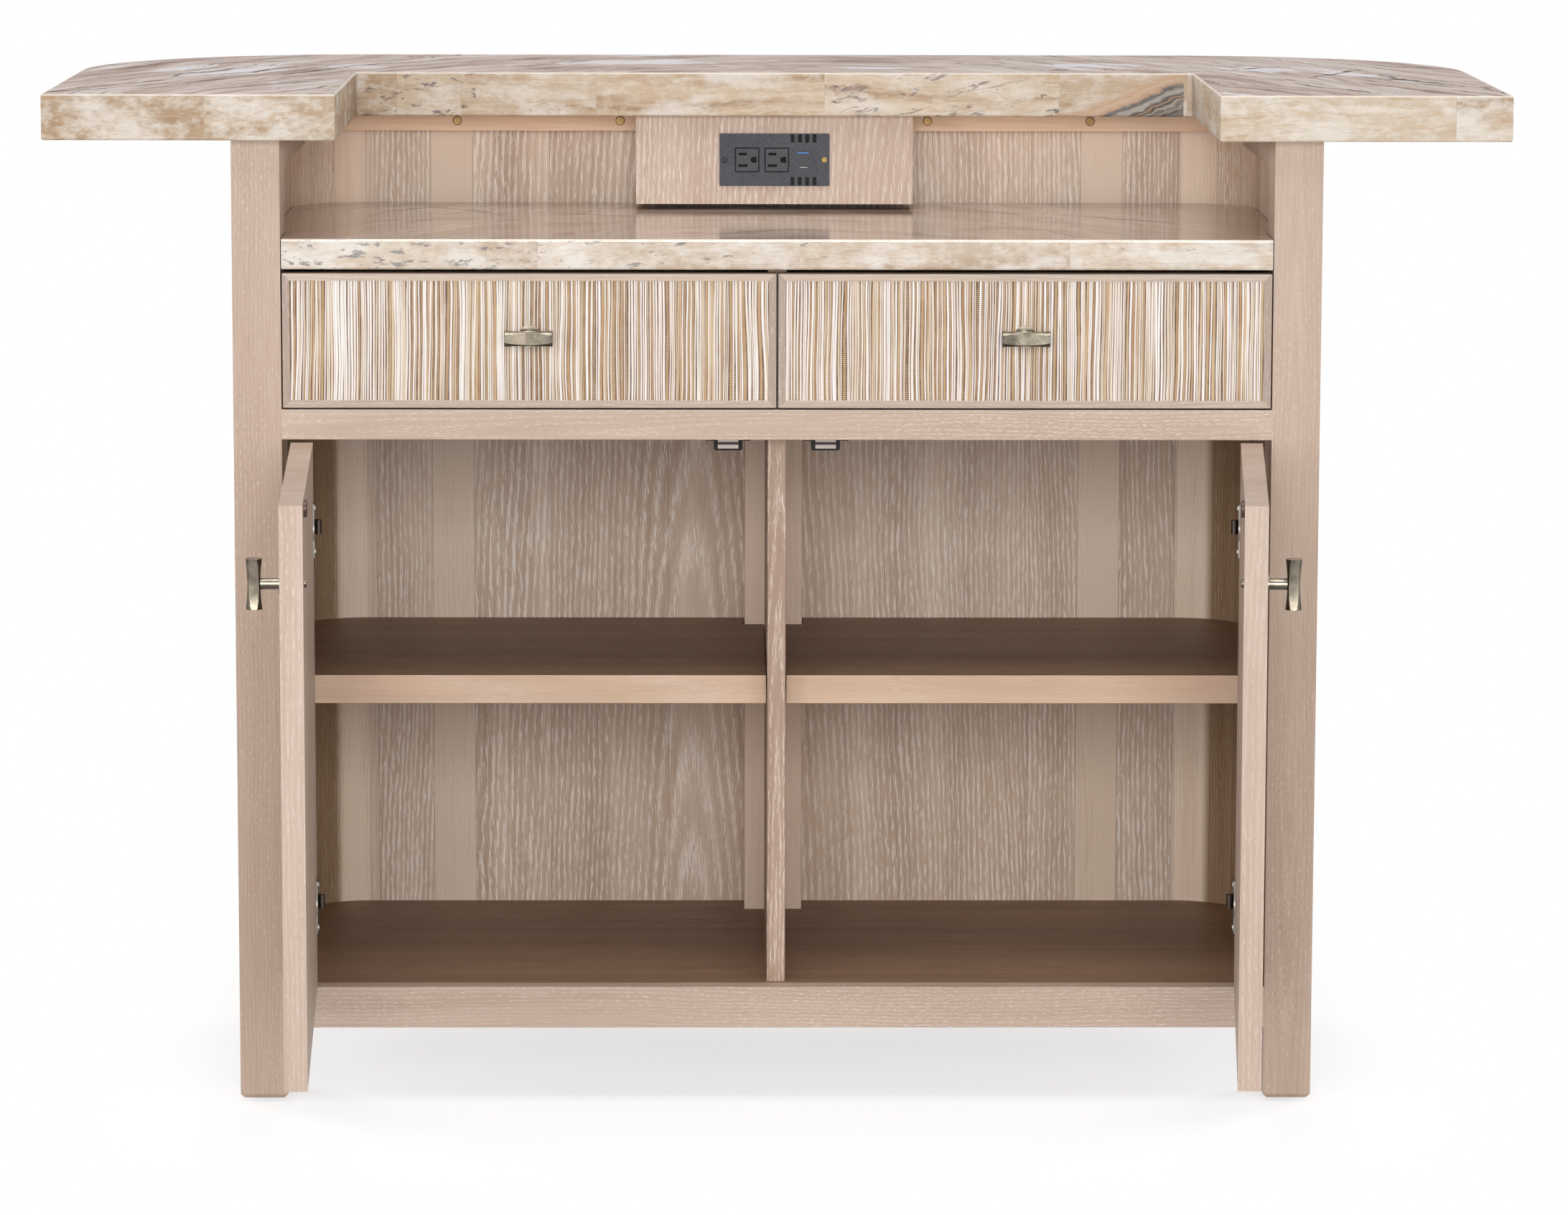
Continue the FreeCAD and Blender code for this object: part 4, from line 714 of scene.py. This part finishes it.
def reed_material():
    """Bleached to brown reeds by their tone, crossed by pale threads; the ground shows between."""
    s = Shader("reeds")
    tone = s.add("ShaderNodeAttribute", attribute_name="reed").outputs["Fac"]
    slow = s.noise(s.place, (90.0, 90.0, 16.0), 3.0, 0.6)
    hair = s.noise(s.place, (2600.0, 2600.0, 60.0), 2.0, 0.6)
    colour = s.hues(s.total(tone, s.swing(slow, 0.3)),
                    (0.0, 84, 58, 44), (0.10, 108, 78, 56), (0.22, 160, 124, 86),
                    (0.36, 184, 152, 114), (0.50, 204, 180, 150), (0.64, 218, 202, 184),
                    (0.80, 236, 228, 222), (1.0, 243, 238, 236))
    thread = s.math("SINE", s.times(s.parts(s.place)[2], math.tau / THREAD_PITCH))
    worn = s.noise(s.place, (160.0, 160.0, 45.0), 2.0, 0.6)
    crossing = s.times(s.step(thread, 0.1, 0.7), s.step(tone, 0.75, 0.1, 0.0, 0.55),
                       s.step(worn, 0.38, 0.58, 0.2, 1.0))
    colour = s.mix(crossing, colour, srgb(222, 206, 186))
    colour = s.mix(s.step(hair, 0.35, 0.75, 0.0, 0.25), colour, s.dyed(colour, (214, 196, 178)))
    return s.finish(colour, 0.72, s.total(hair, s.times(thread, 0.3)), depth=0.00015, strength=0.35)


reeds = reed_material()


def linked(name, data):
    """New object in the scene."""
    obj = bpy.data.objects.new(name, data)
    bpy.context.scene.collection.objects.link(obj)
    return obj


def wave(*place):
    """Smooth noise round 0."""
    return noise.noise(Vector(place))


def reed_choice(rng, mood, last):
    """Tone and width of the next reed: a dark one is always followed by a pale one."""
    draw = rng.random() + mood
    if last < DARK_REED:
        draw = 0.0
    tones, widths = next(kind[1:] for kind in REED_KINDS if draw < kind[0])
    return rng.uniform(*tones), rng.uniform(*widths)


def reed_sheet(name, width, height, spot, seed, rows):
    """Upright reeds of uneven width over a dark ground; spot(u, v, lift) is a place on it."""
    rng = random.Random(seed)
    verts, faces, tones = [], [], []

    def sway(u, v):
        return 0.0040 * wave(u * 14, v * 4.0, seed) + 0.0014 * wave(u * 60, v * 14, seed + 9)

    def put(u, v, lift, tone):
        verts.append(spot(min(max(u, 0.0), width), v, lift))
        tones.append(tone)

    columns = max(1, round(width / GROUND_STEP))
    for i in range(columns + 1):
        for v in (0.0, height):
            put(width * i / columns, v, GROUND_LIFT, GROUND_TONE)
        if i:
            n = len(verts)
            faces.append((n - 4, n - 2, n - 1, n - 3))
    u = 0.0
    tone = 1.0
    while u < width:
        mood = 0.45 * wave(u * 9, seed, 1.0)
        tone, size = reed_choice(rng, mood, tone)
        gap = rng.uniform(*(WIDE_GAPS if rng.random() < WIDE_SHARE else FINE_GAPS))
        tilt = rng.gauss(0.0, TILT)
        rise = min(REED_RISE, 0.3 * size) + rng.uniform(0.0, 0.0002)
        phase = rng.uniform(0, 50)
        first = len(verts)
        for row in range(rows + 1):
            v = height * row / rows
            squeeze = 0.86 + 0.3 * wave(phase, v * 9, 3.0)
            middle = u + size / 2 + sway(u, v) + tilt * (v - height / 2)
            half = size / 2 * max(0.25, squeeze)
            change = tone + 0.10 * wave(phase, v * 7, 8.0)
            put(middle - half, v, REED_LIFT, change * EDGE_SHADE)
            put(middle - 0.15 * half, v, REED_LIFT + rise, change)
            put(middle + half, v, REED_LIFT, change * EDGE_SHADE)
        for row in range(rows):
            n = first + 3 * row
            faces.append((n, n + 1, n + 4, n + 3))
            faces.append((n + 1, n + 2, n + 5, n + 4))
        u += size + gap
    mesh = bpy.data.meshes.new(name)
    mesh.from_pydata(verts, [], faces)
    mesh.attributes.new("reed", "FLOAT", "POINT").data.foreach_set("value", tones)
    mesh.polygons.foreach_set("use_smooth", [True] * len(faces))
    mesh.update()
    obj = linked(name, mesh)
    wear(obj, reeds)
    return obj


def shut(side):
    """Turn about the door's hinge that brings it from its stored place to shut."""
    joint = next(j for j in frame["joints"] if j["name"] == "door_" + side + "_hinge")
    pivot = Matrix.Translation(Vector(joint["pos_m"]))
    turn = Matrix.Rotation(math.radians(max(joint["range_deg"], key=abs)), 4, "Z")
    return pivot @ turn @ pivot.inverted()


def turned_box(node, turn):
    """Box round a node's mesh once it has been turned."""
    places = [turn @ v.co for v in nodes[node].data.vertices]
    return (Vector([min(p[i] for p in places) for i in range(3)]),
            Vector([max(p[i] for p in places) for i in range(3)]))


def front_panel(node, turn, body, seed, rows):
    """Reeds in place of a door's or drawer's cloth, laid out with it shut and turned back."""
    low, high = turned_box(node, turn)
    back = turn.inverted()
    ground = high.y - BACK_GAP

    def spot(u, v, lift):
        return back @ Vector((low.x + u, ground - lift, low.z + v))

    sheet = reed_sheet(node.replace("cloth", "reeds"), high.x - low.x, high.z - low.z, spot, seed,
                       rows)
    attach(sheet, body)
    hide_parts(node)


for number, side in enumerate(("left", "right")):
    front_panel("drawer_cloth_" + side, Matrix.Identity(4), "drawer_" + side,
                seed=11 + number, rows=10)
    front_panel("door_cloth_" + side, shut(side), "door_" + side, seed=21 + number, rows=30)


def cladding_reeds():
    """Reeds on the outside: two flanks, two corners and two backs."""
    low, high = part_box("clad_panels")
    stile = corner_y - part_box("clad_stiles")[0].y
    face = high.x
    radius = face - corner_x
    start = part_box("post_right")[1].y
    back = high.y
    height = high.z - low.z

    def flank(sign):
        return lambda u, v, lift: Vector((sign * (face + lift), start + u, low.z + v))

    def bend(sign):
        def spot(u, v, lift):
            turn = u / radius
            return Vector((sign * (corner_x + (radius + lift) * math.cos(turn)),
                           corner_y + (radius + lift) * math.sin(turn), low.z + v))
        return spot

    def rear(sign):
        return lambda u, v, lift: Vector((sign * (stile / 2 + u), back + lift, low.z + v))

    for number, (sign, side) in enumerate(((-1, "left"), (1, "right"))):
        for part, place, width in (("flank", flank(sign), corner_y - stile - start),
                                   ("bend", bend(sign), radius * math.pi / 2),
                                   ("rear", rear(sign), corner_x - 1.5 * stile)):
            sheet = reed_sheet("clad_reeds_" + part + "_" + side, width, height, place,
                               seed=31 + 7 * number + len(part), rows=34)
            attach(sheet, "cabinet")


cladding_reeds()


# ---- floor, world, lights and camera -----------------------------------------------------------
FLOOR_HALF = 40.0
SHADOW_GREY = 0.42              # near the cabinet a grey floor that takes shadows, with a glow
SHADOW_GLOW = 0.68
LIT_GREY = 0.8                  # the floor as it lights the cabinet
SHADOW_REACH = (0.03, 0.42)     # where the shadowed floor turns white, in metres from the cabinet
SIDE_HASTE = 2.5                # how much sooner it does so at the sides
WHITE = (1, 1, 1, 1)
AMBIENT = 0.22                  # light of the world on the object; it is seen as white


def floor():
    """White sweep: it keeps the shadow near the cabinet and is seen plain white farther out."""
    corners = [(x * FLOOR_HALF, y * FLOOR_HALF, 0) for x, y in ((-1, -1), (1, -1), (1, 1), (-1, 1))]
    mesh = bpy.data.meshes.new("floor")
    mesh.from_pydata(corners, [], [(0, 1, 2, 3)])
    s = Shader("floor")
    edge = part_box("post_right")[1].x
    front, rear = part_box("post_right")[0].y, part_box("clad_base_rails")[1].y

    def diffuse(grey):
        return s.add("ShaderNodeBsdfDiffuse", {"Color": (grey, grey, grey, 1)}).outputs[0]

    def glow(strength):
        return s.add("ShaderNodeEmission", {"Color": WHITE, "Strength": strength}).outputs[0]

    near = s.add("ShaderNodeAddShader", {0: diffuse(SHADOW_GREY), 1: glow(SHADOW_GLOW)})
    x, y, _ = s.parts(s.place)
    beside = s.greater(s.minus(s.size(x), edge), 0.0)
    before = s.greater(s.greater(s.minus(front, y), s.minus(y, rear)), 0.0)
    away = s.vector("LENGTH", s.joined(s.times(beside, SIDE_HASTE), before, 0.0))
    shown = s.add("ShaderNodeMixShader", {0: s.step(away, *SHADOW_REACH), 1: near.outputs[0],
                                          2: glow(1.0)})
    out = s.add("ShaderNodeMixShader", {0: s.plainly_seen(), 1: diffuse(LIT_GREY),
                                        2: shown.outputs[0]})
    s.add("ShaderNodeOutputMaterial", {"Surface": out.outputs[0]})
    obj = linked("floor", mesh)
    wear(obj, s.material)


floor()

world = bpy.data.worlds.new("studio")
world.use_nodes = True
bpy.context.scene.world = world
sky = Graph(world.node_tree)
strength = sky.add("ShaderNodeMapRange", {0: sky.plainly_seen(), 3: AMBIENT, 4: 1.0}).outputs[0]
background = sky.add("ShaderNodeBackground", {"Color": WHITE, "Strength": strength})
sky.add("ShaderNodeOutputWorld", {"Surface": background.outputs[0]})


def lamp(name, place, aim, size, power):
    """Rectangle of light, its size in metres and its power in watts."""
    data = bpy.data.lights.new(name, "AREA")
    data.shape = "RECTANGLE"
    data.size, data.size_y = size
    data.energy = power
    obj = linked(name, data)
    obj.location = place
    obj.rotation_euler = (Vector(aim) - Vector(place)).to_track_quat("-Z", "Y").to_euler()


lamp("front_light", (0.0, -7.6, 2.0), (0, 0, 0.6), size=(3.2, 2.8), power=285)
lamp("left_light", (-3.2, -4.6, 1.6), (0, 0, 0.65), size=(1.6, 2.4), power=48)
lamp("right_light", (3.2, -4.6, 1.6), (0, 0, 0.65), size=(1.6, 2.4), power=24)
lamp("top_light", (0.0, -1.3, 4.5), (0, -0.1, 0.9), size=(3.0, 2.4), power=78)
lamp("rear_left_light", (-4.5, 3.5, 1.7), (0, 0, 0.6), size=(2.0, 2.0), power=165)
lamp("rear_right_light", (4.5, 3.5, 1.7), (0, 0, 0.6), size=(2.0, 2.0), power=165)

# the camera as it was solved from the photo
PHOTO_WIDTH = 2184
FOCAL_PIXELS = 8579.63
SENSOR = 36.0
YAW, PITCH, ROLL = math.radians(0.61), math.radians(8.36), math.radians(0.12)
CAMERA_PLACE = (-0.06065, -6.50222, 1.47285)

camera_data = bpy.data.cameras.new("camera")
camera_data.sensor_fit = "HORIZONTAL"
camera_data.sensor_width = SENSOR
camera_data.lens = SENSOR * FOCAL_PIXELS / PHOTO_WIDTH
camera_data.clip_end = 200.0
camera = linked("camera", camera_data)
forward = Vector((math.sin(YAW) * math.cos(PITCH), math.cos(YAW) * math.cos(PITCH),
                  -math.sin(PITCH)))
level = Vector((math.cos(YAW), -math.sin(YAW), 0.0))
upward = level.cross(forward)
right = level * math.cos(ROLL) + upward * math.sin(ROLL)
up = upward * math.cos(ROLL) - level * math.sin(ROLL)
camera.matrix_world = Matrix([(right[i], up[i], -forward[i], CAMERA_PLACE[i]) for i in range(3)]
                             + [(0, 0, 0, 1)])
bpy.context.scene.camera = camera
bpy.context.scene.view_settings.view_transform = "Standard"
